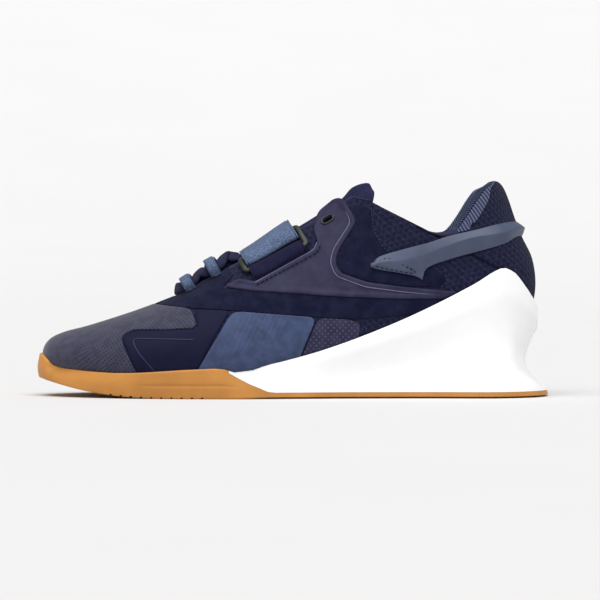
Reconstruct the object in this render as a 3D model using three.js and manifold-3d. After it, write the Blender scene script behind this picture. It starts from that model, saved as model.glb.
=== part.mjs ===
// A left weightlifting shoe, built as a maker builds it: a hollow upper drawn over a last,
// overlays cut to pattern, a raised heel wedge with a cupped heel clip, and a wrapped rubber outsole.
// Millimetres, +Z up. The toe points to -X, the outer side of the foot is at -Y, the floor is z = 0.
import * as THREE from "three";
import { mergeVertices } from "three/addons/utils/BufferGeometryUtils.js";
import Module from "manifold-3d";

const wasm = await Module();
wasm.setup();

// Driving dimensions of the last and the shoe
const shoeLength = 300;
const ballWidth = 98;
const heelWidth = 69;
const instepHeight = 118;
const collarHeight = 128;
const seatHeight = 30;

// Upper, tongue and insole
const upperWall = 2.2;
const collarPad = 4.5;
const fitGap = 0.3;
const throatHalfWidth = 0.148 * ballWidth;
const tongueWall = 3.6;
const tongueBulge = 1.3;
const tonguePad = 3.4;
const tongueHalfWidth = 25;
const insoleThickness = 4;
const eyeletLength = 6;
const eyeletWidth = 3.4;

// Overlays
const overlayWall = 0.9;
const saddleWall = 1.3;
const quarterWall = 1.2;
const heelBandWall = 2.2;
const heelBandRidge = 2.2;
const panelRound = 4;

// Sole
const ballFlare = 3;
const heelFlare = 10;
const soleWidth = ballWidth + 2 * ballFlare;
const heelBaseWidth = heelWidth + 2 * heelFlare;
const cupHeight = 17.6;
const clipHeight = 75.4;
const rimWall = 2.6;
const waistDepth = 11;
const baseRubber = 3.6;
const edgeBevel = 1.2;
const toeSpring = 10.5;
const grooveCount = 10;
const groovePitch = 5.9;
const grooveWidth = 1.3;
const grooveDepth = 1.8;

// Strap, ring, webbing, lace loops and lace
const strapWall = 1.5;
const webbingWall = 1.1;
const ringBar = 2.2;
const ringMargin = 3;
const strapFront = 0.406;
const strapBack = 0.7;
const loopWidth = 6.2;
const lowLoopHeight = 8.2;
const highLoopHeight = 10;
const laceWidth = 5.6;
const laceThickness = 2.2;

// Mesh steps
const sectionSteps = 28;
const aroundSteps = 24;
const soleSteps = 22;
const laceSteps = 20;

const EPSILON = 1e-3;

// Sections of the last. Each is a closed superellipse in a plane that contains Y and the line from
// its sole point to its top point. The planes stand upright at the toe and fan back to the ankle.
// topX, soleX: shares of shoeLength from the toe. topZ: share of instepHeight.
// lift: up to 1 a share of seatHeight, above 1 a share of the rise from seat to collar.
// heel: how far heelWidth rules instead of ballWidth. lateral, medial: half widths as shares of it.
// swing: sideways set of the ridge, share of ballWidth. widest: height share of the widest point.
// crown, base: superellipse exponents above and below it.
const SECTIONS = rows(
  ["topX", "topZ", "soleX", "lift", "heel", "lateral", "medial", "swing", "widest", "crown", "base"],
  [
    [0.0098, 0.203, 0.0098, 0.8, 0, 0, 0, 0.07, 0.48, 2.2, 2.1],
    [0.0135, 0.24, 0.0135, 0.665, 0, 0.085, 0.08, 0.07, 0.46, 2.2, 2.2],
    [0.022, 0.271, 0.022, 0.61, 0, 0.165, 0.155, 0.07, 0.42, 2.2, 2.5],
    [0.036, 0.294, 0.036, 0.57, 0, 0.24, 0.225, 0.07, 0.38, 2.25, 2.9],
    [0.058, 0.315, 0.058, 0.52, 0, 0.31, 0.29, 0.07, 0.35, 2.3, 3.3],
    [0.094, 0.338, 0.094, 0.447, 0, 0.388, 0.357, 0.07, 0.32, 2.3, 3.7],
    [0.145, 0.378, 0.145, 0.363, 0, 0.458, 0.407, 0.061, 0.3, 2.2, 4],
    [0.2, 0.425, 0.2, 0.31, 0, 0.51, 0.432, 0.051, 0.28, 2.05, 4.2],
    [0.263, 0.489, 0.263, 0.287, 0, 0.545, 0.444, 0.041, 0.26, 1.95, 4.4],
    [0.327, 0.588, 0.327, 0.313, 0, 0.553, 0.439, 0.031, 0.24, 1.85, 4.4],
    [0.396, 0.69, 0.42, 0.433, 0.1, 0.547, 0.426, 0.02, 0.22, 1.8, 4.2],
    [0.465, 0.79, 0.549, 0.693, 0.35, 0.529, 0.415, 0.015, 0.22, 1.9, 3.8],
    [0.525, 0.88, 0.694, 0.917, 0.7, 0.528, 0.431, 0.01, 0.24, 2.1, 3.4],
    [0.565, 0.945, 0.824, 0.993, 1, 0.53, 0.478, 0.006, 0.27, 2.35, 3],
    [0.586, 0.982, 0.906, 1.01, 1, 0.514, 0.486, 0.004, 0.3, 2.5, 2.6],
    [0.597, 1.002, 0.949, 1.075, 1, 0.507, 0.49, 0.002, 0.33, 2.55, 2.4],
    [0.604, 1.016, 0.968, 1.22, 1, 0.5, 0.49, 0, 0.35, 2.55, 2.25],
    [0.611, 1.03, 0.975, 1.37, 1, 0.493, 0.486, 0, 0.36, 2.5, 2.2],
    [0.619, 1.044, 0.968, 1.52, 1, 0.48, 0.474, 0, 0.36, 2.4, 2.2],
    [0.627, 1.056, 0.948, 1.65, 1, 0.464, 0.46, 0, 0.36, 2.3, 2.2],
    [0.635, 1.067, 0.933, 1.77, 1, 0.448, 0.446, 0, 0.36, 2.2, 2.2],
    [0.643, 1.078, 0.922, 1.87, 1, 0.436, 0.434, 0, 0.36, 2.1, 2.2],
    [0.65, 1.088, 0.91, 1.95, 1, 0.428, 0.426, 0, 0.36, 2, 2.2],
    [0.657, 1.096, 0.891, 2.005, 1, 0.42, 0.418, 0, 0.36, 2, 2.2],
  ],
);
const THROAT_ROW = 8;
const INSTEP_ROW = 15;
const LAST_ROW = SECTIONS.length - 1;

// Half width of the throat along the instep: shares of the throat's length and of throatHalfWidth.
const THROAT = rows(
  ["at", "half"],
  [
    [-0.03, 0.3],
    [0.02, 0.66],
    [0.1, 0.82],
    [0.3, 0.93],
    [0.6, 1],
    [0.85, 1],
    [1.3, 1.2],
  ],
);

// Collar line seen from the side: shares of shoeLength and instepHeight.
const COLLAR = [
  [0.6, 1.0],
  [0.625, 1.0],
  [0.66, 0.975],
  [0.685, 0.945],
  [0.71, 0.913],
  [0.735, 0.88],
  [0.76, 0.85],
  [0.78, 0.833],
  [0.797, 0.83],
  [0.81, 0.843],
  [0.828, 0.905],
  [0.85, 0.99],
  [0.868, 1.05],
  [0.88, 1.077],
  [0.888, 1.15],
];

// Ground outline of the sole: shares of shoeLength, soleWidth or heelBaseWidth, and ballWidth for swing.
const SOLE_PLAN = rows(
  ["at", "heel", "lateral", "medial", "swing"],
  [
    [0, 0, 0.4, 0.36, 0.07],
    [0.1, 0, 0.43, 0.395, 0.07],
    [0.2, 0, 0.505, 0.435, 0.052],
    [0.3, 0, 0.545, 0.455, 0.035],
    [0.37, 0, 0.55, 0.445, 0.025],
    [0.5, 0.3, 0.51, 0.415, 0.015],
    [0.62, 0.8, 0.485, 0.415, 0.008],
    [0.76, 1, 0.475, 0.44, 0.003],
    [0.9, 1, 0.505, 0.485, 0],
    [1, 1, 0.52, 0.49, 0],
  ],
);
const TOE_ROUND = 0.16;
const HEEL_ROUND = 0.15;

// Underside height along the sole, as a share of toeSpring.
const SPRING = rows(
  ["at", "rise"],
  [
    [0, 1],
    [0.02, 0.88],
    [0.05, 0.67],
    [0.09, 0.41],
    [0.13, 0.22],
    [0.18, 0.08],
    [0.24, 0],
    [1, 0],
  ],
);

// Top edge of the sole: shares of cupHeight in the rubber cup and of clipHeight in the heel clip.
const RIM = rows(
  ["at", "cup", "clip"],
  [
    [0, 1.38, 0],
    [0.01, 1.42, 0],
    [0.022, 1.28, 0],
    [0.036, 1.06, 0],
    [0.07, 0.94, 0],
    [0.165, 0.835, 0],
    [0.3, 0.96, 0],
    [0.357, 1, 0],
    [0.38, 0.9, 0],
    [0.433, 0, 0.242],
    [0.55, 0, 0.374],
    [0.7, 0, 0.596],
    [0.849, 0, 0.874],
    [0.892, 0, 0.98],
    [0.906, 0, 1],
    [0.925, 0, 0.965],
    [0.942, 0, 0.88],
    [0.964, 0, 0.742],
    [0.981, 0, 0.625],
    [1, 0, 0.565],
  ],
);

// Side of the sole from ground edge to rim: share of the rise, and share of waistDepth drawn in.
const SOLE_RIB = rows(
  ["rise", "waist"],
  [
    [0, 0],
    [0.09, 0.12],
    [0.18, 0.53],
    [0.29, 0.92],
    [0.4, 1],
    [0.54, 0.82],
    [0.7, 0.42],
    [0.85, 0.04],
    [1, 0],
  ],
);

// How much of the waist each place along the sole takes.
const WAIST = rows(
  ["at", "share"],
  [
    [0, 0],
    [0.45, 0],
    [0.7, 0.3],
    [0.92, 0.45],
    [0.98, 0.9],
    [1, 1],
  ],
);

// Seam between rubber and wedge from the side: shares of shoeLength, cupHeight and baseRubber.
const CUP_SEAM = rows(
  ["at", "cup", "base"],
  [
    [0.373, 1.6, 0],
    [0.377, 0.84, 0],
    [0.415, 0.5, 0],
    [0.452, 0, 1.12],
    [0.466, 0, 1],
    [1.05, 0, 1],
  ],
);

// Overlay outlines from the side: shares of shoeLength and instepHeight, with a corner radius.
const TOE_CAP = {
  corner: panelRound,
  points: [
    [-0.03, 0.05],
    [0.214, 0.05],
    [0.18, 0.221],
    [0.166, 0.299],
    [0.19, 0.333],
    [0.25, 0.335],
    [0.316, 0.344],
    [0.304, 0.437],
    [0.2275, 0.453],
    [0.2175, 0.522],
    [-0.03, 0.522],
  ],
};
const FLANK = {
  corner: panelRound,
  points: [
    [0.2175, 0.05],
    [0.1825, 0.221],
    [0.1695, 0.295],
    [0.191, 0.328],
    [0.25, 0.33],
    [0.3205, 0.339],
    [0.308, 0.434],
    [0.379, 0.429],
    [0.308, 0.115],
    [0.308, 0.05],
  ],
};
const SADDLE = {
  corner: 1.25 * panelRound,
  points: [
    [0.311, 0.05],
    [0.311, 0.115],
    [0.384, 0.426],
    [0.546, 0.397],
    [0.509, 0.182],
    [0.509, 0.05],
  ],
};
const VAMP = {
  corner: 0.75 * panelRound,
  points: [
    [0.2305, 0.456],
    [0.306, 0.44],
    [0.378, 0.4325],
    [0.49, 0.412],
    [0.57, 0.397],
    [0.625, 0.392],
    [0.632, 0.292],
    [0.8, 0.432],
    [0.79, 0.484],
    [0.7, 0.483],
    [0.6, 0.492],
    [0.515, 0.506],
    [0.425, 0.518],
    [0.362, 0.536],
    [0.384, 0.598],
    [0.384, 0.682],
    [0.3, 0.632],
    [0.222, 0.542],
  ],
};
const QUARTER = {
  corner: 0.75 * panelRound,
  points: [
    [0.3665, 0.541],
    [0.426, 0.5215],
    [0.515, 0.5095],
    [0.6, 0.4955],
    [0.7, 0.4865],
    [0.79, 0.4875],
    [0.82, 0.522],
    [0.718, 0.544],
    [0.643, 0.568],
    [0.59, 0.614],
    [0.582, 0.663],
    [0.588, 0.72],
    [0.624, 0.864],
    [0.6, 0.977],
    [0.585, 0.982],
    [0.545, 0.917],
    [0.54, 0.822],
    [0.547, 0.744],
    [0.541, 0.695],
    [0.427, 0.567],
    [0.398, 0.598],
  ],
};
const EYELET = { at: 0.87, side: 1.32 };

// Heel band from the side: shares of shoeLength along, heights of its edges as shares of instepHeight.
const HEEL_BAND = rows(
  ["at", "upper", "ridge", "lower"],
  [
    [0.65, 0.66, 0.65, 0.64],
    [0.665, 0.692, 0.664, 0.631],
    [0.7, 0.721, 0.672, 0.617],
    [0.742, 0.749, 0.692, 0.602],
    [0.754, 0.757, 0.702, 0.63],
    [0.8, 0.795, 0.749, 0.679],
    [0.85, 0.825, 0.789, 0.716],
    [0.9, 0.844, 0.814, 0.746],
    [1, 0.865, 0.833, 0.78],
  ],
);
const heelBandSteps = 13;

// Where the tongue ends and where its end starts to round, along the throat.
const TONGUE_TIP = 1.145;
const TONGUE_ROUND = 1.04;

// Strap path across the instep: sideways place as a share of throatHalfWidth, height above the form.
const STRAP_PATH = [
  [2.45, 3.1],
  [2.1, 3.0],
  [1.75, 2.8],
  [1.35, 2.7],
  [0.9, 2.6],
  [0, 2.6],
  [-0.7, 2.4],
  [-1.15, 2.25],
  [-1.36, 2.2],
  [-1.52, 2.95],
  [-1.57, 4.5],
  [-1.52, 6.05],
  [-1.36, 6.75],
  [-1.08, 6.2],
  [-0.6, 5.1],
  [0, 4.6],
  [0.9, 4.5],
  [1.5, 4.6],
];
const STRAP_BAR = { side: -1.37, height: 4.5 };
const WEBBING_PATH = [
  [-2.08, 2.6],
  [-2.06, 3.9],
  [-1.98, 5],
  [-1.83, 5.15],
  [-1.73, 4.4],
  [-1.71, 3.2],
  [-1.74, 2],
  [-1.82, 1.25],
  [-1.94, 1.05],
  [-2.07, 1.05],
];
const WEBBING_BAR = { side: -1.88, height: 3.2 };

// Lace loops: places along the throat and heights over the form, and the path of the webbing round
// the lace as sideways shares of throatHalfWidth and shares of the loop's height.
const LOOPS = [
  { at: 0.106, height: lowLoopHeight },
  { at: 0.252, height: highLoopHeight },
];
const LOOP_PATH = [
  [1.34, 0.16],
  [1.36, 0.55],
  [1.24, 0.82],
  [1.02, 0.98],
  [0.7, 0.98],
  [0.44, 0.8],
  [0.34, 0.5],
  [0.34, 0.15],
];
// Half of the lace, from the middle of its lowest bar: along the throat, sideways, height.
const LACE_PATH = [
  [0.03, 0, 2.2],
  [0.045, 0.5, 2.9],
  [0.075, 0.85, 4.4],
  [0.106, 0.9, 5.2],
  [0.142, 0.78, 4.9],
  [0.177, 0, 4.3],
  [0.208, -0.76, 5.9],
  [0.231, -0.88, 6.5],
  [0.273, -0.88, 6.5],
  [0.297, -0.74, 5.8],
  [0.33, -0.1, 4],
  [0.362, 0.2, 1.4],
  [0.398, 0.35, -0.2],
  [0.46, 0.45, -0.1],
];

// A table of rows with named columns.
function rows(columns, values) {
  return values.map((row) => Object.fromEntries(columns.map((name, i) => [name, row[i]])));
}

function mix(a, b, share) {
  return a + (b - a) * share;
}

function smooth(low, high, value) {
  const t = THREE.MathUtils.clamp((value - low) / (high - low), 0, 1);
  return t * t * (3 - 2 * t);
}

// Catmull-Rom value of every column at a fractional row number.
function section(u) {
  const i = Math.min(Math.floor(Math.max(u, 0)), LAST_ROW - 1);
  const f = THREE.MathUtils.clamp(u - i, 0, 1);
  const [a, b, c, d] = [i - 1, i, i + 1, i + 2].map((k) => SECTIONS[THREE.MathUtils.clamp(k, 0, LAST_ROW)]);
  const made = {};
  for (const name in b) {
    const [p, q, r, s] = [a[name], b[name], c[name], d[name]];
    const bend = 2 * p - 5 * q + 4 * r - s + f * (3 * (q - r) + s - p);
    made[name] = q + 0.5 * f * (r - p + f * bend);
  }
  return made;
}

// Value of a column at a place, on a curve through the rows that never overshoots them.
function along(table, column, at) {
  const end = table.length - 1;
  const x = THREE.MathUtils.clamp(at, table[0].at, table[end].at);
  let i = 0;
  while (i < end - 1 && x > table[i + 1].at) i++;
  const slope = (k) => {
    if (k < 0 || k >= end) return 0;
    return (table[k + 1][column] - table[k][column]) / (table[k + 1].at - table[k].at);
  };
  const tangent = (k) => {
    const [before, after] = [slope(k - 1), slope(k)];
    return before * after > 0 ? (2 * before * after) / (before + after) : 0;
  };
  const span = table[i + 1].at - table[i].at;
  const t = (x - table[i].at) / span;
  const [y0, y1] = [table[i][column], table[i + 1][column]];
  const [m0, m1] = [tangent(i) * span, tangent(i + 1) * span];
  return y0 + t * (m0 + t * (3 * (y1 - y0) - 2 * m0 - m1 + t * (m0 + m1 - 2 * (y1 - y0))));
}

function alongX(share) {
  return (share - 0.5) * shoeLength;
}

// A point of the last's surface. turn runs from 0 on the ridge to PI on the sole or heel line;
// a negative turn is the outer side of the foot.
function onLast(u, turn) {
  const s = section(u);
  const topX = alongX(s.topX);
  const topZ = s.topZ * instepHeight;
  const soleX = alongX(s.soleX);
  const soleZ = Math.min(s.lift, 1) * seatHeight + Math.max(s.lift - 1, 0) * (collarHeight - seatHeight);
  const c = Math.cos(turn);
  const power = 2 / (c >= 0 ? s.crown : s.base);
  const reach = c >= 0 ? 1 - s.widest : -s.widest;
  const height = s.widest + reach * Math.abs(c) ** power;
  const width = mix(ballWidth, heelWidth, s.heel) * (turn < 0 ? s.lateral : s.medial);
  const side = Math.sign(turn) * width * Math.abs(Math.sin(turn)) ** power;
  return new THREE.Vector3(mix(soleX, topX, height), s.swing * ballWidth + side, mix(soleZ, topZ, height));
}

function lastNormal(u, turn) {
  if (u < EPSILON) return new THREE.Vector3(-1, 0, 0);
  const step = 2 * EPSILON;
  const alongU = onLast(Math.min(u + step, LAST_ROW), turn).sub(onLast(u - step, turn));
  const around = onLast(u, turn + step).sub(onLast(u, turn - step));
  return alongU.cross(around).normalize();
}

function overLast(u, turn, offset) {
  return onLast(u, turn).addScaledVector(lastNormal(u, turn), offset);
}

// The instep's own frame: distances along the throat are shares of its length.
const throatFoot = onLast(THROAT_ROW, 0);
const throatHead = onLast(INSTEP_ROW, 0);
const throatLength = Math.hypot(throatHead.x - throatFoot.x, throatHead.z - throatFoot.z);
const throatSlope = Math.atan2(throatHead.z - throatFoot.z, throatHead.x - throatFoot.x);
const instepLine = new THREE.Vector3(Math.cos(throatSlope), 0, Math.sin(throatSlope));

// Row number at which a line around the last crosses a place along the throat.
function rowAtInstep(at, turn) {
  let [low, high] = [2, LAST_ROW];
  for (let i = 0; i < 26; i++) {
    const u = (low + high) / 2;
    const reach = onLast(u, turn).sub(throatFoot).dot(instepLine);
    if (reach < at * throatLength) low = u;
    else high = u;
  }
  return (low + high) / 2;
}

// A point over the instep, sideways by a share of throatHalfWidth, with the way out of the foot.
function overInstep(at, sideways, offset) {
  let turn = sideways * 0.35;
  let u = 0;
  for (let i = 0; i < 5; i++) {
    u = rowAtInstep(at, turn);
    const s = section(u);
    const width = mix(ballWidth, heelWidth, s.heel) * (sideways < 0 ? s.lateral : s.medial);
    const share = Math.min(Math.abs(sideways * throatHalfWidth) / width, 0.98);
    turn = Math.sign(sideways) * Math.asin(share ** (s.crown / 2));
  }
  const out = lastNormal(u, turn);
  return { point: onLast(u, turn).addScaledVector(out, offset), out };
}

// A closed body through loops of the same number of points, capped at both ends.
function closedBody(loops) {
  const count = loops[0].length;
  const position = loops.flat().flatMap((p) => [p.x, p.y, p.z]);
  const index = [];
  for (let i = 0; i + 1 < loops.length; i++)
    for (let j = 0; j < count; j++) {
      const [a, b] = [i * count + j, i * count + ((j + 1) % count)];
      index.push(a, b, a + count, b, b + count, a + count);
    }
  const cap = (first, turned) => {
    for (let j = 0; j < count / 2 - 1; j++) {
      const [a, b, c, d] = [j, j + 1, count - 2 - j, count - 1 - j].map((k) => first + k);
      const faces = b === c ? [a, b, d] : [a, b, d, b, c, d];
      for (let k = 0; k < faces.length; k += 3) {
        const [p, q, r] = faces.slice(k, k + 3);
        index.push(...(turned ? [p, q, r] : [p, r, q]));
      }
    }
  };
  cap(0, false);
  cap((loops.length - 1) * count, true);
  const geometry = new THREE.BufferGeometry();
  geometry.setAttribute("position", new THREE.Float32BufferAttribute(position, 3));
  geometry.setIndex(index);
  return geometry;
}

// Geometry as a solid of manifold-3d, faces turned outward.
function solid(geometry) {
  const bare = geometry.clone();
  bare.deleteAttribute("normal");
  bare.deleteAttribute("uv");
  const merged = mergeVertices(bare, 1e-4);
  const p = merged.attributes.position;
  const faces = [];
  let volume = 0;
  const [a, b, c] = [new THREE.Vector3(), new THREE.Vector3(), new THREE.Vector3()];
  for (let i = 0; i < merged.index.count; i += 3) {
    const [i0, i1, i2] = [0, 1, 2].map((k) => merged.index.getX(i + k));
    if (i0 === i1 || i1 === i2 || i2 === i0) continue;
    faces.push(i0, i1, i2);
    a.fromBufferAttribute(p, i0);
    b.fromBufferAttribute(p, i1);
    c.fromBufferAttribute(p, i2);
    volume += a.dot(b.cross(c));
  }
  if (volume < 0) faces.reverse();
  const mesh = new wasm.Mesh({ numProp: 3, vertProperties: p.array, triVerts: new Uint32Array(faces) });
  return new wasm.Manifold(mesh);
}

function geometryOf(shape) {
  const mesh = shape.getMesh();
  const geometry = new THREE.BufferGeometry();
  geometry.setAttribute("position", new THREE.BufferAttribute(mesh.vertProperties, 3));
  geometry.setIndex(new THREE.BufferAttribute(mesh.triVerts, 1));
  return geometry;
}

// The whole last as a closed form, grown by an offset that may vary over it.
function form(offset) {
  const depth = typeof offset === "function" ? offset : () => offset;
  const loops = [];
  for (let i = 0; i <= sectionSteps; i++) {
    const u = (i / sectionSteps) * LAST_ROW;
    const loop = [];
    for (let j = 0; j < aroundSteps; j++) {
      const turn = (j / aroundSteps) * 2 * Math.PI - Math.PI;
      const at = onLast(u, turn);
      loop.push(at.clone().addScaledVector(lastNormal(u, turn), depth(at)));
    }
    loops.push(loop);
  }
  return solid(closedBody(loops));
}

// A prism seen as the given shape from the side, between two sideways planes.
function sidePrism(shape, fromY, toY) {
  const geometry = new THREE.ExtrudeGeometry(shape, { depth: toY - fromY, bevelEnabled: false, curveSegments: 2 });
  geometry.rotateX(Math.PI / 2);
  geometry.translate(0, toY, 0);
  return solid(geometry);
}

function polygon(points) {
  return new THREE.Shape(points.map(([x, z]) => new THREE.Vector2(x, z)));
}

// A polygon with its corners rounded by curves.
function rounded({ points, corner }) {
  const at = points.map(([x, z]) => new THREE.Vector2(alongX(x), z * instepHeight));
  const shape = new THREE.Shape();
  at.forEach((p, i) => {
    const before = at[(i + at.length - 1) % at.length];
    const after = at[(i + 1) % at.length];
    const start = p.clone().lerp(before, Math.min(corner / p.distanceTo(before), 0.45));
    const end = p.clone().lerp(after, Math.min(corner / p.distanceTo(after), 0.45));
    if (i) shape.lineTo(start.x, start.y);
    else shape.moveTo(start.x, start.y);
    shape.quadraticCurveTo(p.x, p.y, end.x, end.y);
  });
  shape.closePath();
  return shape;
}

const farSide = ballWidth;

// Sole

function roundedEnds(at) {
  const toe = 1 - Math.min(at / TOE_ROUND, 1);
  const heel = 1 - Math.min((1 - at) / HEEL_ROUND, 1);
  return Math.sqrt(Math.max(1 - toe * toe, 0)) * Math.sqrt(Math.max(1 - heel * heel, 0));
}

function rimHeight(at) {
  return along(RIM, "cup", at) * cupHeight + along(RIM, "clip", at) * clipHeight;
}

// Point of the ground outline. t runs from toe to heel, side is -1 outside and 1 inside the foot.
function groundEdge(t, side, inset) {
  const at = (1 - Math.cos(Math.PI * t)) / 2;
  const share = along(SOLE_PLAN, side < 0 ? "lateral" : "medial", at);
  const width = share * mix(soleWidth, heelBaseWidth, along(SOLE_PLAN, "heel", at)) * roundedEnds(at);
  const swing = along(SOLE_PLAN, "swing", at) * ballWidth;
  const y = swing + side * Math.max(width - inset, 0);
  const x = mix(alongX(0) + inset, alongX(1) - inset, at);
  return new THREE.Vector3(x, y, along(SPRING, "rise", at) * toeSpring);
}

// Half width of the last at a point seen from the side, by finding the section through it.
function lastAtSide(x, z, side) {
  let [low, high] = [EPSILON, LAST_ROW];
  const place = (u) => {
    const [top, sole] = [onLast(u, 0), onLast(u, Math.PI)];
    const line = top.clone().sub(sole);
    const [dx, dz] = [x - sole.x, z - sole.z];
    return { turned: line.x * dz - line.z * dx, share: (line.x * dx + line.z * dz) / (line.x ** 2 + line.z ** 2) };
  };
  for (let i = 0; i < 30; i++) {
    const u = (low + high) / 2;
    if (place(u).turned < 0) low = u;
    else high = u;
  }
  const u = (low + high) / 2;
  const s = section(u);
  const height = THREE.MathUtils.clamp(place(u).share, 0, 1);
  const above = height >= s.widest;
  const reach = above ? (height - s.widest) / (1 - s.widest) : (s.widest - height) / s.widest;
  const cosine = Math.min(reach, 1) ** ((above ? s.crown : s.base) / 2);
  const turn = side * Math.acos(above ? cosine : -cosine);
  return { point: onLast(u, turn), out: lastNormal(u, turn) };
}

// Point of the sole's top edge, on the outside of the rim.
function rimEdge(t, side) {
  const share = (1 - Math.cos(Math.PI * t)) / 2;
  const front = SECTIONS[0].soleX + 0.0006;
  const back = Math.max(...SECTIONS.map((s) => s.soleX)) - 0.0006;
  const at = mix(front, back, share);
  const height = rimHeight(at);
  const { point, out } = lastAtSide(alongX(at), height, side);
  if (t === 0) out.set(-1, 0, 0);
  if (t === 1) out.set(1, 0, 0);
  out.setZ(0).normalize();
  point.addScaledVector(out, rimWall + fitGap);
  return point.setZ(height);
}

function soleBody() {
  const around = [];
  for (let i = 0; i <= soleSteps; i++) around.push([i / soleSteps, -1]);
  for (let i = soleSteps - 1; i > 0; i--) around.push([i / soleSteps, 1]);
  const loops = [around.map(([t, side]) => groundEdge(t, side, edgeBevel))];
  for (const { rise, waist } of SOLE_RIB)
    loops.push(
      around.map(([t, side]) => {
        const low = groundEdge(t, side, 0);
        const high = rimEdge(t, side);
        const at = mix(low.x, high.x, rise) / shoeLength + 0.5;
        const drawn = waist * waistDepth * along(WAIST, "share", at);
        const across = new THREE.Vector3(0, -side, 0);
        const inward = t === 1 ? new THREE.Vector3(-1, 0, 0) : across.lerp(new THREE.Vector3(-1, 0, 0), smooth(0.9, 1, at));
        low.z += edgeBevel;
        return low.lerp(high, rise).addScaledVector(inward.normalize(), drawn);
      }),
    );
  return solid(closedBody(loops));
}

function seamLine(gap) {
  return CUP_SEAM.map(({ at, cup, base }) => [alongX(at) + (base ? 0 : gap), cup * cupHeight + base * baseRubber + gap]);
}

function grooves() {
  const cuts = [];
  for (let i = 0; i < grooveCount; i++) {
    const x = alongX(0.149) + i * groovePitch;
    const box = new THREE.BoxGeometry(grooveWidth, 2 * farSide, 2 * grooveDepth);
    box.translate(x, 0, along(SPRING, "rise", x / shoeLength + 0.5) * toeSpring);
    cuts.push(solid(box));
  }
  return wasm.Manifold.union(cuts);
}

const bed = form(fitGap);
const body = soleBody();
const above = [
  [alongX(1.05), 2 * collarHeight],
  [alongX(0.373), 2 * collarHeight],
];
const wedgeRegion = sidePrism(polygon([...seamLine(fitGap), ...above]), -farSide, farSide);
const cupRegion = sidePrism(polygon([...seamLine(0), ...above]), -farSide, farSide);
const midsole = body.intersect(wedgeRegion).subtract(bed);
const outsole = body.subtract(cupRegion).subtract(bed).subtract(grooves());

// Upper, insole and tongue

function innerDepth(at) {
  const pad = smooth(0.56, 0.78, at.z / collarHeight) * smooth(0.67, 0.76, at.x / shoeLength + 0.5);
  return -upperWall - collarPad * pad;
}

function collarCut() {
  const line = COLLAR.map(([x, z]) => new THREE.Vector2(alongX(x), z * instepHeight));
  const shape = new THREE.Shape();
  shape.moveTo(line[0].x, 2 * collarHeight);
  shape.lineTo(line[0].x, line[0].y);
  shape.splineThru(line.slice(1));
  shape.lineTo(line[line.length - 1].x, 2 * collarHeight);
  return sidePrism(shape, -farSide, farSide);
}

// Places a geometry drawn with X along the instep and Z out of it.
function placeOnInstep(geometry, at, depth) {
  geometry.rotateY(-throatSlope);
  const out = new THREE.Vector3(-instepLine.z, 0, instepLine.x);
  const origin = throatFoot.clone().addScaledVector(instepLine, at * throatLength).addScaledVector(out, -depth);
  geometry.translate(origin.x, 0, origin.z);
  return geometry;
}

function swingAt(at) {
  return mix(SECTIONS[THROAT_ROW].swing, SECTIONS[INSTEP_ROW].swing, at) * ballWidth;
}

function throatCut() {
  const edge = (side) =>
    THROAT.map(({ at, half }) => new THREE.Vector2(at * throatLength, swingAt(at) + side * half * throatHalfWidth));
  const shape = new THREE.Shape([...edge(-1), ...edge(1).reverse()]);
  const depth = throatHalfWidth;
  const geometry = new THREE.ExtrudeGeometry(shape, { depth: 4 * depth, bevelEnabled: false });
  return solid(placeOnInstep(geometry, 0, depth));
}

function eyeletCut(side) {
  const shape = new THREE.Shape();
  const straight = (eyeletLength - eyeletWidth) / 2;
  shape.absarc(straight, 0, eyeletWidth / 2, -Math.PI / 2, Math.PI / 2);
  shape.absarc(-straight, 0, eyeletWidth / 2, Math.PI / 2, (3 * Math.PI) / 2);
  const geometry = new THREE.ExtrudeGeometry(shape, { depth: 2 * eyeletLength, bevelEnabled: false, curveSegments: 4 });
  geometry.translate(0, 0, -eyeletLength);
  const { point, out } = overInstep(EYELET.at, side * EYELET.side, 0);
  const across = new THREE.Vector3().crossVectors(out, instepLine).normalize();
  const lengthwise = new THREE.Vector3().crossVectors(across, out);
  geometry.applyMatrix4(new THREE.Matrix4().makeBasis(lengthwise, across, out).setPosition(point));
  return solid(geometry);
}

const inner = form(innerDepth);
const eyelets = eyeletCut(-1).add(eyeletCut(1));
const openings = collarCut().add(throatCut());
const drop = upperWall + 1;
const upper = form(0)
  .subtract(inner)
  .subtract(inner.translate([0, 0, -drop]))
  .subtract(openings)
  .subtract(eyelets);

const insoleForm = form(-upperWall - fitGap);
const insole = insoleForm
  .add(insoleForm.translate([0, 0, -upperWall]))
  .subtract(insoleForm.translate([0, 0, insoleThickness - upperWall]))
  .intersect(sidePrism(polygon(insoleSide()), -farSide, farSide));

// Side view of the space that the insole may take: a band over the foot bed.
function insoleSide() {
  const shares = [0.03, 0.1, 0.2, 0.33, 0.42, 0.55, 0.69, 0.82, 0.985];
  const bottom = (at) => {
    let u = 1;
    while (u < INSTEP_ROW && section(u).soleX < at) u += 0.05;
    return [alongX(at), section(u).lift * seatHeight];
  };
  const low = shares.map((at) => bottom(Math.min(at, SECTIONS[INSTEP_ROW - 1].soleX)));
  low.forEach((p, i) => (p[0] = alongX(shares[i])));
  const high = low.map(([x, z]) => [x, z + upperWall + 2 * insoleThickness]).reverse();
  return [...low, ...high];
}

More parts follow.
